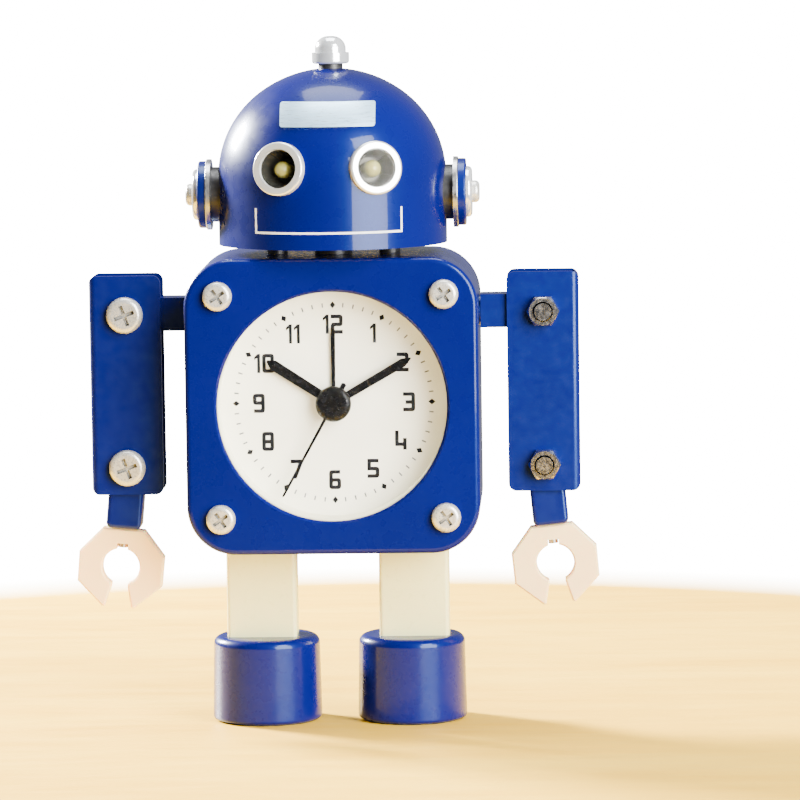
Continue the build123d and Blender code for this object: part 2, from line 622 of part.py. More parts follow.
# ---------------------------------------------------------------- hands
def add_pointer(y, clock_angle, start, length, root_width, tip_width, point, hub_radius, bore):
    """Add a flat hand at a clock angle, in degrees clockwise from twelve."""
    turn = radians(clock_angle)
    ahead = (sin(turn), cos(turn))
    across = (cos(turn), -sin(turn))

    def place(along, aside):
        return (
            ahead[0] * along + across[0] * aside,
            ahead[1] * along + across[1] * aside,
        )

    with BuildSketch(clock_plane(y)) as outline:
        with BuildLine():
            Polyline(
                place(start, -root_width / 2),
                place(length - point, -tip_width / 2),
                place(length, -tip_width / 12),
                place(length, tip_width / 12),
                place(length - point, tip_width / 2),
                place(start, root_width / 2),
                close=True,
            )
        make_face()
        Circle(hub_radius)
        Circle(bore, mode=Mode.SUBTRACT)
    extrude(outline.sketch, amount=HAND_THICKNESS)


with BuildPart() as alarm_hand:
    add_pointer(ALARM_HAND_Y, 0, 0, 22.1, 1.0, 1.3, 2.0, 3.9, ALARM_PIPE)
pieces["alarm_hand"] = alarm_hand

with BuildPart() as hour_hand:
    add_pointer(HOUR_HAND_Y, 303, 0, 22.9, 2.6, 3.1, 2.2, 3.8, HOUR_PIPE)
pieces["hour_hand"] = hour_hand

with BuildPart() as minute_hand:
    add_pointer(MINUTE_HAND_Y, 60, 0, 26.0, 2.1, 2.5, 2.6, 3.6, MINUTE_PIPE)
pieces["minute_hand"] = minute_hand

HUB_RADIUS = 5.2
with BuildPart() as second_hand:
    add_pointer(SECOND_HAND_Y, 209.2, 0, 31.0, 0.9, 0.7, 0.6, 2.5, SECOND_ARBOR)
    add_pointer(SECOND_HAND_Y, 29.2, 0, 6.8, 1.2, 1.5, 0.3, 2.5, SECOND_ARBOR)
    with Locations(clock_plane(SECOND_HAND_Y - HAND_THICKNESS)):
        Cylinder(HUB_RADIUS, 1.8, align=LOWER_MIDDLE)
    fillet(second_hand.edges().filter_by(GeomType.CIRCLE).sort_by(Axis.Y)[0], 1.5)
pieces["second_hand"] = second_hand

# ---------------------------------------------------------------- motor, board, buzzer, battery
STATOR_Y = THIRD_WHEEL_Y + 2.8
COIL_Z = BODY_Z + 22.5
with BuildPart() as motor_coil:
    with BuildSketch(clock_plane(STATOR_Y)):
        with Locations((0, ROTOR_Z)):
            Rectangle(30, 9)
        for side in SIDES:
            with Locations((side * 13.5, ROTOR_Z + 4.75)):
                Rectangle(3, 13.5)
        with Locations((0, COIL_Z - BODY_Z)):
            Rectangle(30, 3)
        with Locations((0, ROTOR_Z)):
            Circle(3.3, mode=Mode.SUBTRACT)
    extrude(amount=1.2)
    with Locations(Plane(origin=(-11, STATOR_Y - 0.6, COIL_Z), x_dir=(0, 1, 0), z_dir=(1, 0, 0))):
        Cylinder(3.3, 22, align=LOWER_MIDDLE)
pieces["motor_coil"] = motor_coil

BOARD_BACK_Y = GEAR_PLATE_Y + CASE_WALL + 3.5
BOARD_Z = BODY_Z + 18.0
with BuildPart() as circuit_board:
    with BuildSketch(front_plane(BOARD_BACK_Y, 0, BOARD_Z)):
        RectangleRounded(44, 16, 1)
    extrude(amount=1.2)
pieces["circuit_board"] = circuit_board

with BuildPart() as buzzer:
    with Locations(front_plane(BOARD_BACK_Y + 5, -12.5, BOARD_Z - 1)):
        Cylinder(8.5, 5, align=LOWER_MIDDLE)
        Cylinder(1.0, 5, align=LOWER_MIDDLE, mode=Mode.SUBTRACT)
pieces["buzzer"] = buzzer

BATTERY_RADIUS = 7.1
BATTERY_Y = GEAR_PLATE_Y + CASE_WALL + BATTERY_RADIUS + 0.2
with BuildPart() as battery:
    with Locations(Plane(origin=(-24.7, BATTERY_Y, BATTERY_Z), x_dir=(0, 1, 0), z_dir=(1, 0, 0))):
        Cylinder(BATTERY_RADIUS, 49.2, align=LOWER_MIDDLE)
    fillet(battery.edges().filter_by(GeomType.CIRCLE), 0.8)
    with Locations(Plane(origin=(24.4, BATTERY_Y, BATTERY_Z), x_dir=(0, 1, 0), z_dir=(1, 0, 0))):
        Cylinder(2.7, 1.2, align=LOWER_MIDDLE)
pieces["battery"] = battery

with BuildPart() as battery_contacts:
    for side in SIDES:
        with Locations((side * (BAY_WIDTH / 2 - BAY_WALL - 0.3), BATTERY_Y, BATTERY_Z)):
            Box(0.5, 9, 12)
    with Locations(Plane(origin=(-24.8, BATTERY_Y, BATTERY_Z), x_dir=(0, 1, 0), z_dir=(-1, 0, 0))):
        Cone(1.5, 3.5, 1.4, align=LOWER_MIDDLE)
    with Locations(Plane(origin=(25.7, BATTERY_Y, BATTERY_Z), x_dir=(0, 1, 0), z_dir=(1, 0, 0))):
        Cone(2.0, 3.0, 0.5, align=LOWER_MIDDLE)
pieces["battery_contacts"] = battery_contacts

with BuildPart() as battery_door:
    with BuildSketch(front_plane(BAY_BACK_Y + 0.6, 0, BATTERY_Z)):
        RectangleRounded(DOOR_WIDTH, DOOR_HEIGHT, 0.6)
    extrude(amount=1.4)
    for rib in range(4):
        with Locations((18 + rib * 1.8, BAY_BACK_Y + 0.6, BATTERY_Z)):
            Box(0.7, 0.8, 8)
pieces["battery_door"] = battery_door

with BuildPart() as alarm_switch:
    with Locations((SWITCH_X, SHELL_HALF_DEPTH - 0.8, SWITCH_Z)):
        Box(9, 1.2, 7)
    with Locations((SWITCH_X, SHELL_HALF_DEPTH + 1.4, SWITCH_Z)):
        Box(3, 3.4, 3)
    with BuildSketch(front_plane(SHELL_HALF_DEPTH + PLATE_THICKNESS + 2.4, SWITCH_X, SWITCH_Z)):
        RectangleRounded(5, 7, 0.8)
    extrude(amount=2.1)
pieces["alarm_switch"] = alarm_switch

# ---------------------------------------------------------------- neck
with BuildPart() as neck_tube:
    with BuildSketch(Plane.XY.offset(BODY_TOP - SHELL_WALL - 1.2)):
        Circle(8)
    extrude(amount=1.2)
    with BuildSketch(Plane.XY.offset(BODY_TOP - SHELL_WALL)):
        Circle(NECK_RADIUS)
    extrude(amount=HEAD_BASE_Z + 4 - BODY_TOP + SHELL_WALL)
    with Locations((0, 0, HEAD_BASE_Z + 4)):
        Hole(3.4, depth=20)
pieces["neck_tube"] = neck_tube

with BuildPart() as neck_spacers:
    with BuildSketch(Plane.XY.offset(BODY_TOP)):
        with Locations((-NECK_BOLT_X, 0), (NECK_BOLT_X, 0)):
            Circle(3.1)
            Circle(1.7 + RUNNING_GAP, mode=Mode.SUBTRACT)
    extrude(amount=HEAD_BASE_Z - BODY_TOP)
spacer_members = [neck_spacers.part]

with BuildPart() as head_base:
    with BuildSketch(Plane.XY.offset(HEAD_BASE_Z)):
        Circle(HEAD_RADIUS - HEAD_WALL - RUNNING_GAP)
    extrude(amount=5)
    with BuildSketch(Plane.XY.offset(HEAD_BASE_Z + HEAD_BASE_WALL)):
        Circle(HEAD_RADIUS - HEAD_WALL - RUNNING_GAP - HEAD_BASE_WALL)
    extrude(amount=5, mode=Mode.SUBTRACT)
    with BuildSketch(Plane.XY.offset(HEAD_BASE_Z)):
        Circle(NECK_RADIUS + RUNNING_GAP)
        with Locations((-NECK_BOLT_X, 0), (NECK_BOLT_X, 0)):
            Circle(1.7 + RUNNING_GAP)
    extrude(amount=5, mode=Mode.SUBTRACT)
pieces["head_base"] = head_base


# ---------------------------------------------------------------- head
def dome_solid(growth):
    """The dome's filled outer shape, grown outwards by a distance."""
    with BuildPart() as filled:
        with BuildSketch(front_plane(0, 0, HEAD_RIM_Z)):
            with BuildLine():
                Line((0, 0), (HEAD_RADIUS + growth, 0))
                Line((HEAD_RADIUS + growth, 0), (HEAD_RADIUS + growth, HEAD_WALL_HEIGHT))
                CenterArc((-HEAD_TOP_OFFSET, HEAD_WALL_HEIGHT), SHOULDER_ARC + growth, 0, BLEND_ANGLE)
                CenterArc((0, CROWN_CENTRE), CROWN_ARC + growth, BLEND_ANGLE, 90 - BLEND_ANGLE)
                Line((0, CROWN_CENTRE + CROWN_ARC + growth), (0, 0))
            make_face()
        revolve(axis=Axis.Z)
    return filled.part


BUSHING_RADIUS = 3.5
BUSHING_BOTTOM = 183.0
EYE_SLEEVE_RADIUS = 6.4
EAR_SCREW_RADIUS = 1.5

with BuildPart() as head_dome:
    add(dome_solid(0))
    add(dome_solid(-HEAD_WALL), mode=Mode.SUBTRACT)
    with Locations(*[eye_plane(side) for side in SIDES]):
        Cylinder(EYE_SLEEVE_RADIUS + RUNNING_GAP, 12, mode=Mode.SUBTRACT)
    with Locations(*[side_plane(side, HEAD_RADIUS, EAR_Z) for side in SIDES]):
        Cylinder(EAR_SCREW_RADIUS + RUNNING_GAP, 6, mode=Mode.SUBTRACT)
    with Locations((0, 0, HEAD_TOP_Z)):
        Cylinder(BUSHING_RADIUS + RUNNING_GAP, 8, mode=Mode.SUBTRACT)
pieces["head_dome"] = head_dome

EYE_LEDGE = 0.4
with BuildPart() as eye_bezels:
    with Locations(*[eye_plane(side).offset(-2.6) for side in SIDES]):
        Cylinder(EYE_RING_RADIUS, EYE_RING_FRONT + 2.6, align=LOWER_MIDDLE)
    for side in SIDES:
        ring_plane = eye_plane(side)
        rim = eye_bezels.edges().filter_by(GeomType.CIRCLE).sort_by(
            lambda edge: (edge.center() - ring_plane.origin - ring_plane.z_dir * EYE_RING_FRONT).length
        )
        fillet(rim[0], EYE_RING_ROUNDING)
    add(dome_solid(0), mode=Mode.SUBTRACT)
    with Locations(*[eye_plane(side).offset(-9) for side in SIDES]):
        Cylinder(EYE_SLEEVE_RADIUS, EYE_RING_FRONT + 8.5, align=LOWER_MIDDLE)
    with Locations(*[eye_plane(side).offset(EYE_LEDGE) for side in SIDES]):
        Cylinder(EYE_MOUTH_RADIUS, 4, align=LOWER_MIDDLE, mode=Mode.SUBTRACT)
    with Locations(*[eye_plane(side).offset(-6) for side in SIDES]):
        Cone(3.4, 5.2, 6 + EYE_LEDGE, align=LOWER_MIDDLE, mode=Mode.SUBTRACT)
    with Locations(*[eye_plane(side).offset(-10) for side in SIDES]):
        Cylinder(2.6, 5, align=LOWER_MIDDLE, mode=Mode.SUBTRACT)
pieces["eye_bezels"] = eye_bezels

with BuildPart() as eye_lenses:
    with Locations(*[eye_plane(side).offset(EYE_LEDGE) for side in SIDES]):
        Cylinder(EYE_MOUTH_RADIUS - RUNNING_GAP, 0.9, align=LOWER_MIDDLE)
pieces["eye_lenses"] = eye_lenses

# Each lamp has its two leads soldered to a fine twin cable that runs back over the head base, down
# the neck tube and on to the circuit board.
CABLE_RADIUS = 0.6
with BuildPart() as eye_lamps:
    for side in SIDES:
        lamp_plane = eye_plane(side)
        with Locations(lamp_plane.offset(-10.2)):
            Cylinder(2.9, 1.0, align=LOWER_MIDDLE)
        with Locations(lamp_plane.offset(-9.2)):
            Cylinder(2.5, 6.5, align=LOWER_MIDDLE)
        with Locations(lamp_plane.offset(-2.7)):
            Sphere(2.5)
        lamp_back = lamp_plane.origin - lamp_plane.z_dir * 10.0
        behind = lamp_plane.origin - lamp_plane.z_dir * 19.0
        with BuildLine() as cable_route:
            FilletPolyline(
                (lamp_back.X, lamp_back.Y, lamp_back.Z),
                (behind.X, behind.Y, behind.Z),
                (side * 1.3, -1.0, EYE_Z - 9),
                (side * 1.3, 0.0, HEAD_BASE_Z - 6),
                (side * 1.3, 0.5, BODY_TOP - 7),
                (side * 3.0, BOARD_BACK_Y + CABLE_RADIUS + 0.02, BOARD_Z + 11.8),
                (side * 3.0, BOARD_BACK_Y + CABLE_RADIUS + 0.02, BOARD_Z + 4),
                radius=(4.5, 5.0, 12.0, 5.0, 5.0),
            )
        with BuildSketch(Plane(origin=lamp_back, z_dir=-lamp_plane.z_dir)):
            Circle(CABLE_RADIUS)
        sweep(path=cable_route.wires()[0])
pieces["eye_lamps"] = eye_lamps

with BuildPart() as brow_plate:
    with BuildSketch(front_plane(0, 0, BROW_Z)):
        RectangleRounded(BROW_WIDTH, BROW_HEIGHT, 0.7)
    extrude(amount=45)
    add(dome_solid(0.7), mode=Mode.INTERSECT)
    add(dome_solid(0), mode=Mode.SUBTRACT)
pieces["brow_plate"] = brow_plate

# Ear stack, from the dome outwards: name, radius, thickness, edge rounding. The first piece is a
# black spacer that follows the dome's curve.
ear_stack = (
    ("ear_spacers", 8.0, 2.0, 0),
    ("ear_plates", 10.3, 1.45, 0.3),
    ("ear_discs", 9.75, 2.3, 0.6),
    ("ear_caps", 7.4, 1.7, 1.2),
)
ear_x = HEAD_RADIUS
for name, radius, thickness, rounding in ear_stack:
    buried = 3.0 if name == "ear_spacers" else 0.0
    with BuildPart() as ear_piece:
        with Locations(*[side_plane(side, ear_x - buried, EAR_Z) for side in SIDES]):
            Cylinder(radius, thickness + buried, align=LOWER_MIDDLE)
        if buried:
            add(dome_solid(0), mode=Mode.SUBTRACT)
        if rounding:
            outer_rims = ear_piece.edges().filter_by(GeomType.CIRCLE).sort_by(
                lambda edge: -abs(edge.center().X)
            )
            fillet(outer_rims[0:2], rounding)
        with Locations(*[side_plane(side, ear_x - buried, EAR_Z) for side in SIDES]):
            Cylinder(EAR_SCREW_RADIUS + RUNNING_GAP, 14, mode=Mode.SUBTRACT)
    if buried:
        spacer_members.append(ear_piece.part)
    else:
        pieces[name] = ear_piece
    ear_x += thickness
group("spacers", spacer_members)

ear_screws = [
    screw(side_plane(side, ear_x, EAR_Z), 3.2, 2.15, EAR_SCREW_RADIUS, 12.5, 0.7) for side in SIDES
]
group("ear_screws", ear_screws)

# ---------------------------------------------------------------- top button
BUTTON_FLANGE_Z = 192.0
BUTTON_FLANGE_TOP = 195.2
BUSHING_TOP = BUTTON_FLANGE_Z + 1.9
SPRING_SHELF = 188.0
BUTTON_CEILING = BUTTON_FLANGE_Z + 3.9
BUTTON_STEM = 1.2
with BuildPart() as button_bushing:
    with BuildSketch(Plane.XY.offset(BUSHING_BOTTOM)):
        Circle(BUSHING_RADIUS)
    extrude(amount=BUSHING_TOP - BUSHING_BOTTOM)
    with Locations((0, 0, BUSHING_TOP)):
        CounterBoreHole(BUTTON_STEM + RUNNING_GAP, 2.7, BUSHING_TOP - SPRING_SHELF, depth=20)
pieces["button_bushing"] = button_bushing

with BuildPart() as top_button:
    with BuildSketch(Plane.XZ):
        with BuildLine():
            Polyline(
                (0, BUTTON_FLANGE_Z),
                (5.4, BUTTON_FLANGE_Z),
                (5.4, BUTTON_FLANGE_TOP),
                (4.5, BUTTON_FLANGE_TOP),
                (4.5, TOTAL_HEIGHT),
                (0, TOTAL_HEIGHT),
                close=True,
            )
        make_face()
    revolve(axis=Axis.Z)
    round_edges = top_button.edges().filter_by(GeomType.CIRCLE).sort_by(Axis.Z)
    fillet(round_edges[-1], 3.8)
    fillet(top_button.edges().filter_by(GeomType.CIRCLE).group_by(Axis.Z)[0].sort_by(SortBy.RADIUS)[-1], 0.8)
    with BuildSketch(Plane.XY.offset(BUTTON_FLANGE_Z)):
        Circle(BUSHING_RADIUS + 0.3)
    extrude(amount=BUTTON_CEILING - BUTTON_FLANGE_Z, mode=Mode.SUBTRACT)
    with BuildSketch(Plane.XY.offset(BUSHING_BOTTOM - BUTTON_TAIL)):
        Circle(BUTTON_STEM)
    extrude(amount=BUTTON_CEILING + 0.5 - BUSHING_BOTTOM + BUTTON_TAIL)
    with BuildSketch(Plane.XY.offset(BUSHING_BOTTOM - BUTTON_TAIL)):
        Circle(2.0)
    extrude(amount=BUTTON_TAIL - 0.1)
pieces["top_button"] = top_button

SPRING_WIRE = 0.25
SPRING_RADIUS = 2.1
with BuildPart() as button_spring:
    with BuildLine() as spring_line:
        Helix(
            pitch=1.5,
            height=BUTTON_CEILING - SPRING_SHELF - 2 * SPRING_WIRE - 0.1,
            radius=SPRING_RADIUS,
            center=(0, 0, SPRING_SHELF + SPRING_WIRE + 0.05),
        )
    with BuildSketch(Plane(origin=spring_line.line @ 0, z_dir=spring_line.line % 0)):
        Circle(SPRING_WIRE)
    sweep(path=spring_line.line, is_frenet=True)
pieces["button_spring"] = button_spring

with BuildPart() as button_switch:
    with BuildSketch(Plane.XY.offset(BUSHING_BOTTOM - 9)):
        Circle(5)
    extrude(amount=9)
    well_depth = BUTTON_TAIL + BUTTON_TRAVEL + 0.8
    with BuildSketch(Plane.XY.offset(BUSHING_BOTTOM - well_depth)):
        Circle(2.6)
    extrude(amount=well_depth, mode=Mode.SUBTRACT)
pieces["button_switch"] = button_switch


# ---------------------------------------------------------------- arms
def shoulder_bar(side):
    """Flat bar with a round end on the arm bolt and a round journal in the body's side."""
    journal_end = JOURNAL_END_X - 0.2
    bar_start = BODY_WIDTH / 2 + 0.4
    with BuildPart() as bar:
        with BuildSketch(front_plane(BAR_DEPTH / 2, 0, SHOULDER_Z)):
            with Locations((side * (bar_start + ARM_X) / 2, 0)):
                Rectangle(ARM_X - bar_start, BAR_HEIGHT)
            with Locations((side * ARM_X, 0)):
                Circle(BAR_HEIGHT / 2)
                Circle(ARM_BOLT_RADIUS + RUNNING_GAP, mode=Mode.SUBTRACT)
        extrude(amount=BAR_DEPTH)
        with Locations(side_plane(side, journal_end, SHOULDER_Z)):
            Cylinder(JOURNAL_RADIUS, bar_start + 0.2 - journal_end, align=LOWER_MIDDLE)
        with Locations(side_plane(side, journal_end - 1.4, SHOULDER_Z)):
            Cylinder(2.0, 1.4, align=LOWER_MIDDLE)
        with Locations(side_plane(side, journal_end - 2.2, SHOULDER_Z)):
            Cylinder(5.2, 0.8, align=LOWER_MIDDLE)
            Cylinder(5.2, 1.8, align=LOWER_MIDDLE)
    return bar


def arm_channel(side):
    """Folded sheet arm: front and back plates joined by a wall on the outer side."""
    height = ARM_TOP - ARM_BOTTOM
    middle = (ARM_TOP + ARM_BOTTOM) / 2
    with BuildPart() as channel:
        with BuildSketch(floor_plane(side * ARM_X, 0, ARM_BOTTOM)):
            RectangleRounded(ARM_WIDTH, ARM_DEPTH, 2.0)
            with Locations((-side * ARM_WIDTH / 2, 0)):
                Rectangle(5, ARM_DEPTH)
            with Locations((-side * (ARM_SHEET / 2 + 5), 0)):
                Rectangle(ARM_WIDTH - ARM_SHEET + 10, ARM_DEPTH - 2 * ARM_SHEET, mode=Mode.SUBTRACT)
        extrude(amount=height)
        with BuildSketch(front_plane(ARM_DEPTH, side * ARM_X, middle)):
            RectangleRounded(ARM_WIDTH, height, 2.3)
            with Locations((0, SHOULDER_Z - middle), (0, ELBOW_Z - middle)):
                Circle(ARM_BOLT_RADIUS + RUNNING_GAP, mode=Mode.SUBTRACT)
        extrude(amount=2 * ARM_DEPTH, mode=Mode.INTERSECT)
    return channel


def arm_fasteners(side):
    """Two M5 bolts and nuts; the heads are in front on the left arm and behind on the right."""
    head_in_front = side == LEFT
    members = []
    for height in (SHOULDER_Z, ELBOW_Z):
        toward_head = -1 if head_in_front else 1
        head_plane = Plane(
            origin=(side * ARM_X, toward_head * ARM_DEPTH / 2, height),
            x_dir=(1, 0, 0),
            z_dir=(0, toward_head, 0),
        )
        members.append(screw(turned(head_plane, 20), 5.3, 2.8, ARM_BOLT_RADIUS, ARM_DEPTH + 5.2, 1.1))
        with BuildPart() as nut:
            nut_plane = Plane(
                origin=(side * ARM_X, -toward_head * ARM_DEPTH / 2, height),
                x_dir=(1, 0, 0),
                z_dir=(0, -toward_head, 0),
            )
            with BuildSketch(nut_plane):
                RegularPolygon(NUT_APOTHEM, 6, major_radius=False)
            extrude(amount=NUT_HEIGHT)
            with Locations(nut_plane):
                Cone(6.35, NUT_APOTHEM - 0.15, NUT_HEIGHT, align=LOWER_MIDDLE, mode=Mode.INTERSECT)
            with BuildSketch(nut_plane):
                Circle(ARM_BOLT_RADIUS + 0.02)
            extrude(amount=NUT_HEIGHT, mode=Mode.SUBTRACT)
            mouth = nut.edges().filter_by(GeomType.CIRCLE).sort_by(SortBy.RADIUS)[0:2]
            chamfer(mouth, 0.45)
        members.append(nut.part)
    return members


def forearm(side):
    """Solid bar on the lower bolt, with a screw hole up its lower end."""
    with BuildPart() as bar:
        with BuildSketch(elbow_plane(side).offset(-BAR_DEPTH / 2)):
            Circle(FOREARM_WIDTH / 2)
            with Locations((0, -FOREARM_REACH / 2)):
                Rectangle(FOREARM_WIDTH, FOREARM_REACH)
            Circle(ARM_BOLT_RADIUS + RUNNING_GAP, mode=Mode.SUBTRACT)
        extrude(amount=BAR_DEPTH)
        lower_corners = bar.edges().filter_by(Axis.Y).sort_by(Axis.Z)[0:2]
        fillet(lower_corners, 1.6)
        straight = bar.edges().filter_by(GeomType.LINE).filter_by(
            lambda edge: edge.length > 10 and abs(edge.tangent_at(0.5).Z) > 0.9
        )
        fillet(straight, 1.2)
        with Locations(claw_screw_plane(side).offset(-0.3)):
            Cylinder(CLAW_SCREW_RADIUS + RUNNING_GAP, 9, align=LOWER_MIDDLE, mode=Mode.SUBTRACT)
    return bar


CLAW_TOP_DROP = FOREARM_REACH + CLAW_GAP
SCREW_SEAT_DROP = CLAW_TOP_DROP + CLAW_HOLE_DROP - CLAW_HOLE_RADIUS - SCREW_HEAD_HEIGHT - 0.25


def claw_screw_plane(side):
    """A plane across the forearm's end, on its axis, facing up the forearm."""
    lean = radians(FOREARM_LEAN)
    up = (-side * sin(lean), 0, cos(lean))
    origin = (
        side * ARM_X - up[0] * FOREARM_REACH,
        0,
        ELBOW_Z - up[2] * FOREARM_REACH,
    )
    return Plane(origin=origin, x_dir=(0, 1, 0), z_dir=up)


def claw(side):
    """Octagonal C-shaped clip that swivels on its screw."""
    top = -CLAW_TOP_DROP
    half = CLAW_HALF_WIDTH
    right_half = (
        (6.1, top),
        (half, top - 7.4),
        (half - 0.1, top - 16.2),
        (4.6, top - CLAW_HEIGHT),
        (3.9, top - CLAW_HEIGHT + 0.2),
        (CLAW_SLOT / 2, top - CLAW_HEIGHT + 6.2),
        (CLAW_SLOT / 2, top - CLAW_HOLE_DROP),
    )
    left_half = [(-x, y) for x, y in reversed(right_half)]
    with BuildPart() as clip:
        with BuildSketch(elbow_plane(side).offset(-CLAW_THICKNESS / 2)):
            with BuildLine():
                Polyline(*right_half, *left_half, close=True)
            make_face()
            with Locations((0, top - CLAW_HOLE_DROP)):
                Circle(CLAW_HOLE_RADIUS, mode=Mode.SUBTRACT)
        extrude(amount=CLAW_THICKNESS)
        front_edges = clip.faces().sort_by(Axis.Y)[0].edges()
        back_edges = clip.faces().sort_by(Axis.Y)[-1].edges()
        chamfer(front_edges + back_edges, 0.5)
        with BuildSketch(elbow_plane(side).offset(-CLAW_THICKNESS / 2)):
            with Locations((0, -SCREW_SEAT_DROP - SCREW_NOTCH / 2)):
                Rectangle(2 * SCREW_HEAD_RADIUS + 0.4, SCREW_NOTCH)
        extrude(amount=CLAW_THICKNESS, mode=Mode.SUBTRACT)
        with Locations(claw_screw_plane(side).offset(FOREARM_REACH - SCREW_SEAT_DROP - 0.5)):
            Cylinder(CLAW_SCREW_RADIUS + 0.15, 8, align=LOWER_MIDDLE, mode=Mode.SUBTRACT)
    return clip


def claw_screw(side):
    """Small screw that holds the claw on the forearm: its head sits in the notch above the hole."""
    seat = claw_screw_plane(side).offset(FOREARM_REACH - SCREW_SEAT_DROP - 0.1)
    with BuildPart() as small_screw:
        with Locations(seat.offset(-SCREW_HEAD_HEIGHT)):
            Cylinder(SCREW_HEAD_RADIUS, SCREW_HEAD_HEIGHT, align=LOWER_MIDDLE)
        with Locations(seat):
            Cylinder(CLAW_SCREW_RADIUS, SCREW_SEAT_DROP - FOREARM_REACH + 7.5, align=LOWER_MIDDLE)
    return small_screw


for side in SIDES:
    pieces[side_name(side, "shoulder_bar")] = shoulder_bar(side)
    pieces[side_name(side, "arm")] = arm_channel(side)
    group(side_name(side, "arm_fasteners"), arm_fasteners(side))
    pieces[side_name(side, "forearm")] = forearm(side)
    pieces[side_name(side, "claw")] = claw(side)
    pieces[side_name(side, "claw_screw")] = claw_screw(side)

# ---------------------------------------------------------------- write every piece
for node, piece in pieces.items():
    piece.part.label = node
    export_step(piece.part, f"parts/{node}.step")
print(len(pieces), "nodes, front reach", round(FRONT_REACH, 3))
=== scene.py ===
from math import atan2, cos, pi, radians, sin

import bmesh
import bpy
from mathutils import Matrix, Vector


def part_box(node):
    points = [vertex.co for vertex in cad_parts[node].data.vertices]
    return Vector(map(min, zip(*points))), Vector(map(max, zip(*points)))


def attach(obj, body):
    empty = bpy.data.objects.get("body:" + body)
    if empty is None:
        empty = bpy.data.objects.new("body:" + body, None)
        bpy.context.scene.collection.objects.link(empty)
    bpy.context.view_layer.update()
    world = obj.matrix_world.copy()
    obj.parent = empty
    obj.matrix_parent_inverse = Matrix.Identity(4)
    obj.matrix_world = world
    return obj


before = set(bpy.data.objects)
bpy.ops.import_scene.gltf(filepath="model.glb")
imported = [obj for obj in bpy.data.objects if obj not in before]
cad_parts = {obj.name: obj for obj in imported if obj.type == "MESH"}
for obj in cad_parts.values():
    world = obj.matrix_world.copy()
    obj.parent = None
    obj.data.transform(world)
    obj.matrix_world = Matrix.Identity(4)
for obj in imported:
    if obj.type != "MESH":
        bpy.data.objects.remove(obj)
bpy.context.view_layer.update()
MM = 0.001

# ---------------------------------------------------------------- camera
AZIMUTH = radians(2.0)
ELEVATION = radians(5.8)
ROLL = radians(-0.81)
DISTANCE = 1.5
TARGET = Vector((18.78 * MM, 0, 93.66 * MM))
FOCAL_PIXELS = 3.425 * 1500

outward = Vector((sin(AZIMUTH) * cos(ELEVATION), -cos(AZIMUTH) * cos(ELEVATION), sin(ELEVATION)))
camera_data = bpy.data.cameras.new("camera")
camera_data.sensor_width = 36
camera_data.lens = FOCAL_PIXELS / 800 * 36
camera_data.clip_start = 0.05
camera_data.clip_end = 20
camera_data.dof.use_dof = False
camera = bpy.data.objects.new("camera", camera_data)
bpy.context.scene.collection.objects.link(camera)
turn = outward.to_track_quat("Z", "Y").to_matrix().to_4x4()
camera.matrix_world = Matrix.Translation(TARGET + outward * DISTANCE) @ turn @ Matrix.Rotation(ROLL, 4, "Z")
bpy.context.scene.camera = camera


# ---------------------------------------------------------------- helpers for node materials
def put(tree, kind, **values):
    """A new shader node with the given properties and input values."""
    node = tree.nodes.new(kind)
    for key, value in values.items():
        if hasattr(node, key):
            setattr(node, key, value)
        else:
            node.inputs[key.replace("_", " ")].default_value = value
    return node


def new_tree(name):
    """An empty node material with its output node."""
    material = bpy.data.materials.new(name)
    material.use_nodes = True
    material.node_tree.nodes.clear()
    output = material.node_tree.nodes.new("ShaderNodeOutputMaterial")
    return material, material.node_tree, output


def noise(tree, scale, detail=3.0, stretch=(1, 1, 1), seed=0.0):
    """Noise in the object's own coordinates; scale is in waves per metre."""
    place = put(tree, "ShaderNodeTexCoord")
    mapping = put(tree, "ShaderNodeMapping")
    mapping.inputs["Scale"].default_value = stretch
    mapping.inputs["Location"].default_value = (seed, seed * 0.7, seed * 0.3)
    texture = put(tree, "ShaderNodeTexNoise", Scale=scale, Detail=detail)
    tree.links.new(place.outputs["Object"], mapping.inputs["Vector"])
    tree.links.new(mapping.outputs["Vector"], texture.inputs["Vector"])
    return texture.outputs["Fac"]


def spread(tree, source, low, high, start=0.35, stop=0.65):
    """Maps a noise value to a range."""
    ramp = put(tree, "ShaderNodeMapRange")
    ramp.inputs["From Min"].default_value = start
    ramp.inputs["From Max"].default_value = stop
    ramp.inputs["To Min"].default_value = low
    ramp.inputs["To Max"].default_value = high
    tree.links.new(source, ramp.inputs["Value"])
    return ramp.outputs["Result"]


def blend_colours(tree, factor, first, second):
    """A colour that goes from first to second with factor; either may be a socket."""
    mix = put(tree, "ShaderNodeMix", data_type="RGBA")
    for socket, colour in ((mix.inputs[6], first), (mix.inputs[7], second)):
        if isinstance(colour, tuple):
            socket.default_value = (*colour, 1)
        else:
            tree.links.new(colour, socket)
    tree.links.new(factor, mix.inputs[0])
    return mix.outputs[2]


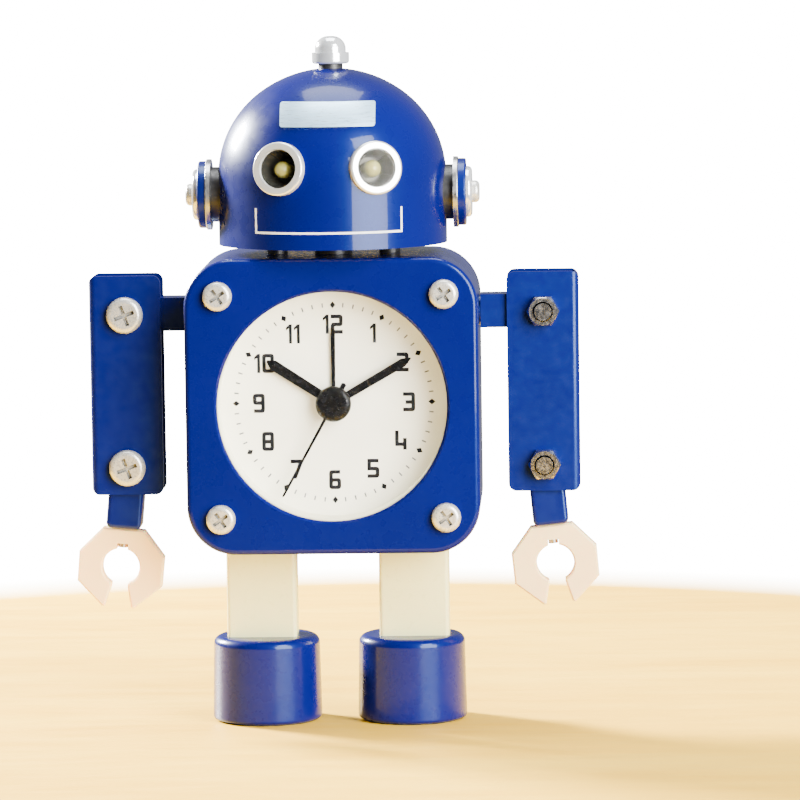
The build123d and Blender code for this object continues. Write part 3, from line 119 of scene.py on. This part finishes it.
def cup_mask(tree):
    """Where shade is painted: one inside the eyes' cups and zero on their front rings, by distance from the
    eye's own axis.
    """
    place = put(tree, "ShaderNodeTexCoord")
    split = put(tree, "ShaderNodeSeparateXYZ")
    mirrored = put(tree, "ShaderNodeMath", operation="ABSOLUTE")
    joined = put(tree, "ShaderNodeCombineXYZ")
    offset = put(tree, "ShaderNodeVectorMath", operation="SUBTRACT")
    across = put(tree, "ShaderNodeVectorMath", operation="CROSS_PRODUCT")
    length = put(tree, "ShaderNodeVectorMath", operation="LENGTH")
    tree.links.new(place.outputs["Object"], split.inputs["Vector"])
    tree.links.new(split.outputs["X"], mirrored.inputs[0])
    tree.links.new(mirrored.outputs["Value"], joined.inputs["X"])
    tree.links.new(split.outputs["Y"], joined.inputs["Y"])
    tree.links.new(split.outputs["Z"], joined.inputs["Z"])
    tree.links.new(joined.outputs["Vector"], offset.inputs[0])
    offset.inputs[1].default_value = EYE_CENTRE
    tree.links.new(offset.outputs["Vector"], across.inputs[0])
    across.inputs[1].default_value = EYE_AXIS
    tree.links.new(across.outputs["Vector"], length.inputs[0])
    return spread(tree, length.outputs["Value"], 1.0, 0.0, EYE_CUP_RADIUS - 0.15 * MM, EYE_CUP_RADIUS)


def crevice_mask(tree, reach):
    """Rises to one deep in recesses: the mask for painted shade, where shade falls."""
    shade = put(tree, "ShaderNodeAmbientOcclusion", samples=8, only_local=True)
    shade.inputs["Distance"].default_value = reach
    return spread(tree, shade.outputs["AO"], 1.0, 0.0, 0.3, 0.9)


def finish(name, base, second, mottle=60, rough=(0.3, 0.4), rough_scale=400, bump=(900, 0.1, 10e-6),
           stretch=(1, 1, 1), painted_recess_shade=None, painted_cup_shade=None, seed=0.0, **shader):
    """Two-tone colour, uneven roughness, fine relief and, if asked, painted shade in recesses and inside the
    eye cups.
    """
    material, tree, output = new_tree(name)
    surface = put(tree, "ShaderNodeBsdfPrincipled")
    for key, value in shader.items():
        surface.inputs[key.replace("_", " ")].default_value = value
    tone = spread(tree, noise(tree, mottle, 4.0, stretch, seed), 0.0, 1.0)
    colour = blend_colours(tree, tone, base, second)
    roughness = spread(tree, noise(tree, rough_scale, 5.0, stretch, seed + 3), rough[0], rough[1])
    # painted shade: the colour darkens towards a dark tone in recesses, found by ambient occlusion
    if painted_recess_shade:
        colour = blend_colours(tree, crevice_mask(tree, painted_recess_shade[1]), colour, painted_recess_shade[0])
    # painted shade: near-black colour and weak reflection inside the chrome eye cups
    if painted_cup_shade:
        inside = cup_mask(tree)
        colour = blend_colours(tree, inside, colour, painted_cup_shade)
        tree.links.new(spread(tree, inside, 0.5, 0.05, 0.0, 1.0), surface.inputs["Specular IOR Level"])
    tree.links.new(colour, surface.inputs["Base Color"])
    tree.links.new(roughness, surface.inputs["Roughness"])
    relief = put(tree, "ShaderNodeBump")
    relief.inputs["Strength"].default_value = bump[1]
    relief.inputs["Distance"].default_value = bump[2]
    tree.links.new(noise(tree, bump[0], 3.0, stretch, seed + 7), relief.inputs["Height"])
    tree.links.new(relief.outputs["Normal"], surface.inputs["Normal"])
    tree.links.new(surface.outputs["BSDF"], output.inputs["Surface"])
    return material


# ---------------------------------------------------------------- finishes
EYE_CENTRE = (14.01 * MM, -30.96 * MM, 163.33 * MM)
EYE_AXIS = (0.3395, -0.9327, 0.1219)
EYE_CUP_RADIUS = 5.6 * MM

blue_paint = finish("blue_enamel", (0.0018, 0.0028, 0.080), (0.0020, 0.0032, 0.088), mottle=35,
                    rough=(0.26, 0.30), rough_scale=260, bump=(700, 0.12, 8e-6), seed=1.0, Coat_Weight=0.22,
                    Coat_Roughness=0.05, Specular_IOR_Level=0.25, Specular_Tint=(0.2, 0.45, 1.0, 1))
blue_parts = finish("blue_enamel_small_parts", (0.0018, 0.0028, 0.080), (0.0020, 0.0032, 0.088), mottle=60,
                    rough=(0.28, 0.38), rough_scale=320, bump=(900, 0.12, 7e-6), seed=2.0, Coat_Weight=0.15,
                    Coat_Roughness=0.1, Specular_Tint=(0.2, 0.45, 1.0, 1))
chrome = finish("chrome_plate", (0.86, 0.87, 0.88), (0.78, 0.80, 0.82), mottle=300, rough=(0.12, 0.2),
                rough_scale=900, bump=(1500, 0.12, 6e-6), seed=3.0, Metallic=0.65)
# painted shade inside the eye cups of the chrome bezels
eye_chrome = finish("eye_ring_plate", (0.86, 0.88, 0.86), (0.78, 0.80, 0.78), mottle=300,
                    rough=(0.14, 0.24), rough_scale=900, bump=(1500, 0.12, 6e-6), painted_cup_shade=(0.05, 0.049, 0.040),
                    seed=3.5, Metallic=0.6)
brushed_silver = finish("brushed_silver", (0.58, 0.82, 1.0), (0.50, 0.74, 0.94), mottle=160,
                        rough=(0.26, 0.44), rough_scale=300, bump=(260, 0.25, 8e-6), stretch=(1, 1, 14),
                        seed=4.0, Metallic=0.6)
# painted shade darkens the cross recesses of the screw heads
pale_screw = finish("zinc_screw", (0.62, 0.61, 0.57), (0.52, 0.52, 0.49), mottle=500, rough=(0.24, 0.36),
                    rough_scale=1400, bump=(2500, 0.12, 6e-6), painted_recess_shade=((0.10, 0.10, 0.09), 0.9e-3),
                    seed=5.0, Metallic=0.55)
# painted shade darkens the nut's bore and the gap round the bolt end
nut_steel = finish("dark_nickel_nut", (0.46, 0.445, 0.43), (0.42, 0.405, 0.39), mottle=400,
                   rough=(0.18, 0.28), rough_scale=1200, bump=(2200, 0.1, 5e-6),
                   painted_recess_shade=((0.02, 0.02, 0.02), 0.45e-3), seed=6.0, Metallic=1.0)
plain_steel = finish("plain_steel", (0.50, 0.50, 0.49), (0.38, 0.38, 0.38), mottle=220, rough=(0.24, 0.42),
                     rough_scale=700, bump=(1600, 0.2, 8e-6), seed=7.0, Metallic=1.0)
black_plastic = finish("black_moulding", (0.012, 0.012, 0.013), (0.02, 0.02, 0.021), mottle=200,
                       rough=(0.34, 0.5), rough_scale=900, bump=(3000, 0.3, 12e-6), seed=8.0)
ivory_plastic = finish("ivory_moulding", (0.80, 0.75, 0.34), (0.74, 0.69, 0.31), mottle=45,
                       rough=(0.26, 0.38), rough_scale=500, bump=(1300, 0.25, 10e-6), seed=9.0,
                       Subsurface_Weight=0.15, Subsurface_Scale=0.002)
claw_plastic = finish("claw_moulding", (0.95, 0.69, 0.35), (0.91, 0.65, 0.32), mottle=70,
                      rough=(0.32, 0.46), rough_scale=600, bump=(1500, 0.3, 12e-6), seed=10.0,
                      Subsurface_Weight=0.3, Subsurface_Scale=0.003)
ring_plastic = finish("recess_ring_moulding", (0.82, 0.79, 0.62), (0.76, 0.73, 0.57), mottle=70,
                      rough=(0.3, 0.42), rough_scale=500, bump=(1300, 0.2, 8e-6), seed=11.0)
dial_paint = finish("dial_paint", (0.84, 0.81, 0.66), (0.79, 0.76, 0.62), mottle=90, rough=(0.5, 0.62),
                    rough_scale=900, bump=(2600, 0.25, 6e-6), seed=12.0)
hand_paint = finish("hand_enamel", (0.0018, 0.0018, 0.002), (0.0026, 0.0026, 0.003), mottle=220,
                    rough=(0.22, 0.3), rough_scale=700, bump=(1500, 0.1, 4e-6), seed=13.0,
                    Specular_IOR_Level=0.25)
gear_plastic = finish("acetal_gear", (0.82, 0.79, 0.70), (0.76, 0.73, 0.63), mottle=120, rough=(0.36, 0.5),
                      rough_scale=700, bump=(2000, 0.25, 8e-6), seed=14.0)
movement_plastic = finish("movement_moulding", (0.025, 0.026, 0.028), (0.035, 0.036, 0.038), mottle=160,
                          rough=(0.38, 0.55), rough_scale=800, bump=(2600, 0.35, 14e-6), seed=15.0)
copper_wire = finish("coil_copper", (0.80, 0.36, 0.16), (0.66, 0.28, 0.12), mottle=300, rough=(0.2, 0.36),
                     rough_scale=900, bump=(2400, 0.6, 40e-6), stretch=(6, 1, 1), seed=16.0, Metallic=1.0)
board_green = finish("circuit_board_green", (0.012, 0.13, 0.05), (0.03, 0.20, 0.08), mottle=350,
                     rough=(0.28, 0.42), rough_scale=700, bump=(1600, 0.35, 12e-6), seed=17.0,
                     Coat_Weight=0.4)
battery_jacket = finish("battery_jacket", (0.05, 0.05, 0.06), (0.11, 0.11, 0.12), mottle=120,
                        rough=(0.22, 0.36), rough_scale=600, bump=(1400, 0.2, 8e-6), seed=18.0,
                        Coat_Weight=0.4)
lamp_resin = finish("lamp_resin", (0.42, 0.38, 0.08), (0.56, 0.52, 0.14), mottle=700, rough=(0.06, 0.14),
                    rough_scale=900, bump=(1800, 0.15, 6e-6), seed=19.0, Transmission_Weight=0.35, IOR=1.5,
                    Coat_Weight=0.6)
pad_foam = finish("foam_pad", (0.025, 0.025, 0.025), (0.045, 0.045, 0.045), mottle=500, rough=(0.8, 0.95),
                  rough_scale=1200, bump=(2600, 0.8, 60e-6), seed=20.0)
black_print = finish("dial_ink", (0.006, 0.006, 0.007), (0.010, 0.010, 0.011), mottle=400,
                     rough=(0.42, 0.56), rough_scale=1200, bump=(3000, 0.2, 4e-6), seed=21.0,
                     Specular_IOR_Level=0.05)
grey_print = finish("tick_ink", (0.10, 0.10, 0.10), (0.16, 0.16, 0.16), mottle=400, rough=(0.42, 0.56),
                    rough_scale=1200, bump=(3000, 0.2, 4e-6), seed=22.0, Specular_IOR_Level=0.05)
white_print = finish("mouth_ink", (0.80, 0.82, 0.86), (0.70, 0.73, 0.78), mottle=500, rough=(0.34, 0.46),
                     rough_scale=1200, bump=(3000, 0.2, 4e-6), seed=23.0)


def clear_finish(name, tint, rough, seed, gloss, coated=0.0):
    """Thin clear plastic, uneven in its gloss; a coated one passes more light and reflects less."""
    material, tree, output = new_tree(name)
    glass = put(tree, "ShaderNodeBsdfPrincipled")
    glass.inputs["Transmission Weight"].default_value = 1.0
    glass.inputs["IOR"].default_value = 1.46
    glass.inputs["Specular IOR Level"].default_value = gloss
    tone = spread(tree, noise(tree, 120, 3.0, seed=seed), 0.0, 1.0)
    duller = tuple(0.985 * value for value in tint)
    tree.links.new(blend_colours(tree, tone, tint, duller), glass.inputs["Base Color"])
    haze = spread(tree, noise(tree, 260, 4.0, seed=seed + 2), rough[0], rough[1])
    tree.links.new(haze, glass.inputs["Roughness"])
    see_through = put(tree, "ShaderNodeBsdfTransparent")
    see_through.inputs["Color"].default_value = (*tint, 1)
    path = put(tree, "ShaderNodeLightPath")
    mix = put(tree, "ShaderNodeMixShader")
    least = put(tree, "ShaderNodeMath", operation="MAXIMUM")
    tree.links.new(path.outputs["Is Shadow Ray"], least.inputs[0])
    least.inputs[1].default_value = coated
    tree.links.new(least.outputs["Value"], mix.inputs["Fac"])
    tree.links.new(glass.outputs["BSDF"], mix.inputs[1])
    tree.links.new(see_through.outputs["BSDF"], mix.inputs[2])
    tree.links.new(mix.outputs["Shader"], output.inputs["Surface"])
    return material


crystal_clear = clear_finish("crystal_clear", (0.99, 0.99, 0.985), (0.01, 0.03), 31.0, 0.3)
lens_clear = clear_finish("lens_clear", (0.98, 0.98, 0.975), (0.01, 0.04), 33.0, 0.3, coated=0.88)

FINISHES = {
    blue_paint: ("front_plate", "body_shell", "back_cover", "head_dome", "feet"),
    blue_parts: ("left_arm", "right_arm", "left_forearm", "right_forearm", "left_shoulder_bar",
                 "right_shoulder_bar", "ear_discs"),
    chrome: ("top_button", "ear_caps"),
    eye_chrome: ("eye_bezels",),
    brushed_silver: ("brow_plate",),
    pale_screw: ("case_screws", "ear_screws", "left_arm_fasteners"),
    nut_steel: ("right_arm_fasteners",),
    plain_steel: ("ear_plates", "frame_bolts", "head_base", "button_spring", "battery_contacts",
                  "left_claw_screw", "right_claw_screw"),
    black_plastic: ("spacers", "neck_tube", "button_bushing", "button_switch", "battery_door", "alarm_switch",
                    "time_set_knob", "alarm_set_knob", "buzzer"),
    ivory_plastic: ("legs",),
    claw_plastic: ("left_claw", "right_claw"),
    ring_plastic: ("dial_ring",),
    dial_paint: ("dial",),
    hand_paint: ("hour_hand", "minute_hand", "alarm_hand", "second_hand"),
    crystal_clear: ("crystal",),
    lens_clear: ("eye_lenses",),
    gear_plastic: ("rotor", "third_wheel", "seconds_wheel", "minute_pipe", "hour_wheel", "alarm_wheel"),
    movement_plastic: ("movement_front", "movement_back"),
    copper_wire: ("motor_coil",),
    board_green: ("circuit_board",),
    battery_jacket: ("battery",),
    lamp_resin: ("eye_lamps",),
    pad_foam: ("foot_pads",),
}
for material, names in FINISHES.items():
    for name in names:
        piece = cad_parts[name]
        if not piece.material_slots:
            piece.data.materials.append(material)
        for holder in piece.material_slots:
            holder.link = "OBJECT"
            holder.material = material


# ---------------------------------------------------------------- printed marks on the dial
def rounded(points):
    """Replaces each corner (x, y, radius) of a closed outline by a short arc."""
    outline = []
    for index, (x, y, radius) in enumerate(points):
        corner = Vector((x, y))
        before = (Vector(points[index - 1][:2]) - corner).normalized()
        after = (Vector(points[(index + 1) % len(points)][:2]) - corner).normalized()
        if radius <= 0:
            outline.append(corner)
            continue
        half = before.angle(after) / 2
        reach = radius / max(0.2, abs(sin(half) / cos(half)))
        middle = corner + (before + after).normalized() * (radius / sin(half))
        start = corner + before * reach - middle
        sweep = start.angle_signed(corner + after * reach - middle)
        for step in range(6):
            turn_by = sweep * step / 5
            outline.append(middle + Matrix.Rotation(-turn_by, 2) @ start)
    return outline


W, H, T = 3.5, 5.6, 1.1
M = 2.72
LO, HI = M - T / 2, M + T / 2
R, Q = 0.85, 0.2
SIX = [
    [(0, 0, R), (W, 0, R), (W, HI, R), (T, HI, 0), (T, H - T, Q), (W - 0.25, H - T, 0), (W - 0.25, H, 0),
     (0, H, R)],
    [(T, T, Q), (W - T, T, Q), (W - T, LO, Q), (T, LO, Q)],
]
GLYPHS = {
    "0": (W, [
        [(0, 0, R), (W, 0, R), (W, H, R), (0, H, R)],
        [(T, T, Q), (W - T, T, Q), (W - T, H - T, Q), (T, H - T, Q)],
    ]),
    "1": (1.75, [[(0.85, 0, 0), (1.75, 0, 0), (1.75, H, 0), (1.0, H, 0), (0, H - 0.95, 0), (0, H - 1.85, 0),
                  (0.85, H - 1.2, 0)]]),
    "2": (W, [[(0, H - T, 0), (0, H, 0), (W, H, R), (W, LO, R), (T, LO, Q), (T, T, 0), (W, T, 0), (W, 0, 0),
               (0, 0, 0), (0, HI, R), (W - T, HI, Q), (W - T, H - T, Q)]]),
    "3": (W, [[(0, 0, 0), (W, 0, R), (W, H, R), (0, H, 0), (0, H - T, 0), (W - T, H - T, Q), (W - T, HI, 0),
               (0.7, HI, 0), (0.7, LO, 0), (W - T, LO, 0), (W - T, T, Q), (0, T, 0)]]),
    "4": (W, [[(0, H, 0), (T, H, 0), (T, 1.05 + T, 0), (W - T - 0.1, 1.05 + T, 0), (W - T - 0.1, 3.4, 0),
               (W - 0.1, 3.4, 0), (W - 0.1, 0, 0), (W - T - 0.1, 0, 0), (W - T - 0.1, 1.05, 0),
               (0, 1.05, 0.3)]]),
    "5": (W, [[(0, 0, 0), (W, 0, R), (W, HI, R), (T, HI, 0), (T, H - T, 0), (W - 0.2, H - T, 0),
               (W - 0.2, H, 0), (0, H, 0), (0, LO, 0), (W - T, LO, Q), (W - T, T, Q), (0, T, 0)]]),
    "6": (W, SIX),
    "7": (W, [[(0, H, 0), (W, H, 0), (W, H - 1.2, 0), (1.75, 0, 0), (0.75, 0, 0), (W - T - 0.15, H - T, 0),
               (0, H - T, 0)]]),
    "8": (W, [
        [(0, 0, R), (W, 0, R), (W, H, R), (0, H, R)],
        [(T, T, Q), (W - T, T, Q), (W - T, LO, Q), (T, LO, Q)],
        [(T, HI, Q), (W - T, HI, Q), (W - T, H - T, Q), (T, H - T, Q)],
    ]),
    "9": (W, [[(W - x, H - y, r) for x, y, r in ring] for ring in SIX]),
}
NUMERAL_RADII = {12: 22.8, 1: 23.2, 2: 23.2, 3: 21.8, 4: 22.3, 5: 22.3, 6: 22.5, 7: 22.3, 8: 22.3, 9: 21.8,
                 10: 23.2, 11: 23.2}
GLYPH_GAP = 0.55


def numeral_outlines(hour):
    """The outlines of one hour's digits, centred on their place on the dial, in millimetres."""
    text = str(hour)
    width = sum(GLYPHS[digit][0] for digit in text) + GLYPH_GAP * (len(text) - 1)
    angle = radians(30 * hour)
    radius = NUMERAL_RADII[hour]
    left = radius * sin(angle) - width / 2
    bottom = radius * cos(angle) - H / 2
    outlines = []
    for digit in text:
        for ring in GLYPHS[digit][1]:
            outlines.append([point + Vector((left, bottom)) for point in rounded(ring)])
        left += GLYPH_GAP + GLYPHS[digit][0]
    return outlines


def radial_mark(degrees, middle, corners):
    """A small outline given as (across, outward) corners, turned to its place on the dial."""
    angle = radians(degrees)
    out = Vector((sin(angle), cos(angle)))
    across = Vector((cos(angle), -sin(angle)))
    return [across * x + out * (middle + y) for x, y in corners]


def printed(name, outlines, plane_y, thickness, material):
    """Thin raised ink on a plane that faces the front."""
    curve = bpy.data.curves.new(name, "CURVE")
    curve.dimensions = "2D"
    curve.fill_mode = "BOTH"
    curve.extrude = thickness / 2 * MM
    for ring in outlines:
        spline = curve.splines.new("POLY")
        spline.points.add(len(ring) - 1)
        for point, corner in zip(spline.points, ring):
            point.co = (corner[0] * MM, corner[1] * MM, 0, 1)
        spline.use_cyclic_u = True
    holder = bpy.data.objects.new(name + "_outline", curve)
    bpy.context.scene.collection.objects.link(holder)
    bpy.context.view_layer.update()
    mesh = bpy.data.meshes.new_from_object(holder.evaluated_get(bpy.context.evaluated_depsgraph_get()))
    bpy.data.objects.remove(holder)
    centre_z = (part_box("dial")[0].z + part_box("dial")[1].z) / 2
    mesh.transform(Matrix.Translation((0, plane_y * MM, centre_z)) @ Matrix.Rotation(pi / 2, 4, "X"))
    mesh.name = name
    mesh.materials.clear()
    mesh.materials.append(material)
    piece = bpy.data.objects.new(name, mesh)
    bpy.context.scene.collection.objects.link(piece)
    return piece


DIAL_FACE_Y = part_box("dial")[0].y / MM
MARK_RADIUS = 28.4
numerals = [ring for hour in range(1, 13) for ring in numeral_outlines(hour)]
diamond = [(-0.85, 0), (0, -1.05), (0.85, 0), (0, 1.05)]
hour_marks = [radial_mark(30 * hour, MARK_RADIUS, diamond) for hour in range(12)]
tick = [(-0.2, -0.65), (0.2, -0.65), (0.2, 0.65), (-0.2, 0.65)]
minute_ticks = [radial_mark(6 * minute, MARK_RADIUS, tick) for minute in range(60) if minute % 5]
for name, outlines, material in (
    ("dial_numerals", numerals, black_print),
    ("dial_hour_marks", hour_marks, black_print),
    ("dial_minute_ticks", minute_ticks, grey_print),
):
    piece = printed(name, outlines, DIAL_FACE_Y - 0.02, 0.06, material)
    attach(piece, "body")

# ---------------------------------------------------------------- printed mouth on the head
MOUTH_HALF = 21.1
MOUTH_LOW = 144.9
MOUTH_RISE = 7.0
MOUTH_LINE = 0.62
HEAD_WALL_RADIUS = 33.2
INK_LIFT = 0.04


def mouth_mesh():
    """A thin bracket of ink wrapped round the head's straight wall."""
    radius = HEAD_WALL_RADIUS + INK_LIFT
    reach = atan2(MOUTH_HALF, (radius ** 2 - MOUTH_HALF ** 2) ** 0.5)
    steps = 48
    edge = MOUTH_LINE / radius
    inner = [-reach + edge + (2 * reach - 2 * edge) * i / steps for i in range(steps + 1)]
    columns = [-reach, *inner, reach]
    rows = [MOUTH_LOW - MOUTH_LINE / 2, MOUTH_LOW + MOUTH_LINE / 2, MOUTH_LOW + MOUTH_RISE]
    mesh = bmesh.new()
    corners = {}

    def corner(i, j):
        if (i, j) not in corners:
            angle = columns[i]
            point = (radius * sin(angle), -radius * cos(angle), rows[j])
            corners[i, j] = mesh.verts.new([value * MM for value in point])
        return corners[i, j]

    for i in range(len(columns) - 1):
        for j in range(2):
            if j == 0 or i in (0, len(columns) - 2):
                mesh.faces.new((corner(i, j), corner(i + 1, j), corner(i + 1, j + 1), corner(i, j + 1)))
    bmesh.ops.recalc_face_normals(mesh, faces=mesh.faces)
    bmesh.ops.solidify(mesh, geom=mesh.faces[:], thickness=0.08 * MM)
    bmesh.ops.recalc_face_normals(mesh, faces=mesh.faces)
    data = bpy.data.meshes.new("mouth_line")
    mesh.to_mesh(data)
    mesh.free()
    data.materials.append(white_print)
    return data


mouth = bpy.data.objects.new("mouth_line", mouth_mesh())
bpy.context.scene.collection.objects.link(mouth)
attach(mouth, "body")


# ---------------------------------------------------------------- floor, surroundings and lights
FLOOR_RADIUS = 0.34
FLOOR_FADE = (0.285, 0.335)


def floor_material():
    """Pale warm tabletop, fading out at its rim so that it has no hard edge."""
    material, tree, output = new_tree("pale_floor")
    surface = put(tree, "ShaderNodeBsdfPrincipled")
    surface.inputs["Specular IOR Level"].default_value = 0.3
    grain = spread(tree, noise(tree, 9, 4.0, (1, 6, 1), 41.0), 0.0, 1.0)
    board = blend_colours(tree, grain, (0.78, 0.44, 0.02), (0.86, 0.52, 0.04))
    tree.links.new(board, surface.inputs["Base Color"])
    gloss = spread(tree, noise(tree, 40, 3.0, (1, 4, 1), 43.0), 0.42, 0.55)
    tree.links.new(gloss, surface.inputs["Roughness"])
    gone = put(tree, "ShaderNodeBsdfTransparent")
    place = put(tree, "ShaderNodeTexCoord")
    length = put(tree, "ShaderNodeVectorMath", operation="LENGTH")
    tree.links.new(place.outputs["Object"], length.inputs[0])
    fade = spread(tree, length.outputs["Value"], 0.0, 1.0, *FLOOR_FADE)
    mix = put(tree, "ShaderNodeMixShader")
    tree.links.new(fade, mix.inputs["Fac"])
    tree.links.new(surface.outputs["BSDF"], mix.inputs[1])
    tree.links.new(gone.outputs["BSDF"], mix.inputs[2])
    tree.links.new(mix.outputs["Shader"], output.inputs["Surface"])
    return material


disc = bmesh.new()
bmesh.ops.create_circle(disc, cap_ends=True, radius=FLOOR_RADIUS, segments=128)
floor_mesh = bpy.data.meshes.new("floor")
disc.to_mesh(floor_mesh)
disc.free()
floor_mesh.materials.append(floor_material())
floor = bpy.data.objects.new("floor", floor_mesh)
bpy.context.scene.collection.objects.link(floor)


ROOM_FRONT = 0.06
ROOM_BACK = 0.4
ROOM_CEILING = 0.4
BACKDROP = 18.0


def room_world():
    """Darker in front of the clock, bright behind it and at its sides, and a pale backdrop for the camera."""
    world = bpy.data.worlds.new("pale_room")
    world.use_nodes = True
    tree = world.node_tree
    tree.nodes.clear()
    place = put(tree, "ShaderNodeTexCoord")
    split = put(tree, "ShaderNodeSeparateXYZ")
    tree.links.new(place.outputs["Generated"], split.inputs["Vector"])
    wall = spread(tree, split.outputs["Y"], ROOM_FRONT, ROOM_BACK, -0.62, -0.25)
    ceiling = spread(tree, split.outputs["Z"], 0.0, ROOM_CEILING, 0.35, 0.8)
    level = put(tree, "ShaderNodeMath", operation="MAXIMUM")
    tree.links.new(wall, level.inputs[0])
    tree.links.new(ceiling, level.inputs[1])
    room = put(tree, "ShaderNodeBackground", Color=(0.94, 0.97, 1.0, 1))
    tree.links.new(level.outputs["Value"], room.inputs["Strength"])
    backdrop = put(tree, "ShaderNodeBackground", Color=(1.0, 1.0, 1.0, 1), Strength=BACKDROP)
    seen = put(tree, "ShaderNodeLightPath")
    either = put(tree, "ShaderNodeMixShader")
    output = put(tree, "ShaderNodeOutputWorld")
    tree.links.new(seen.outputs["Is Camera Ray"], either.inputs["Fac"])
    tree.links.new(room.outputs["Background"], either.inputs[1])
    tree.links.new(backdrop.outputs["Background"], either.inputs[2])
    tree.links.new(either.outputs["Shader"], output.inputs["Surface"])
    return world


bpy.context.scene.world = room_world()


def soft_light(name, place, aim, size, power, colour=(1, 1, 1)):
    """A rectangular soft box that faces its aim."""
    data = bpy.data.lights.new(name, "AREA")
    data.shape = "RECTANGLE"
    data.size = size[0]
    data.size_y = size[1]
    data.energy = power
    data.color = colour
    lamp = bpy.data.objects.new(name, data)
    bpy.context.scene.collection.objects.link(lamp)
    away = Vector(place) - Vector(aim)
    lamp.matrix_world = Matrix.Translation(place) @ away.to_track_quat("Z", "Y").to_matrix().to_4x4()
    return lamp


soft_light("key_right", (0.58, -0.69, 0.27), (0, 0, 0.12), (0.62, 0.55), 36, (1.0, 0.99, 0.98))
soft_light("fill_high", (0.7, -0.8, 0.9), (0, 0, 0.1), (0.5, 0.4), 26, (0.95, 0.98, 1.0))
soft_light("window_left_back", (-0.82, 0.60, 0.50), (0, 0, 0.08), (0.22, 0.22), 165, (1.0, 0.98, 0.94))
soft_light("overhead", (0.0, 0.15, 1.1), (0, 0, 0.1), (0.6, 0.6), 16, (0.97, 0.99, 1.0))

bpy.context.view_layer.update()
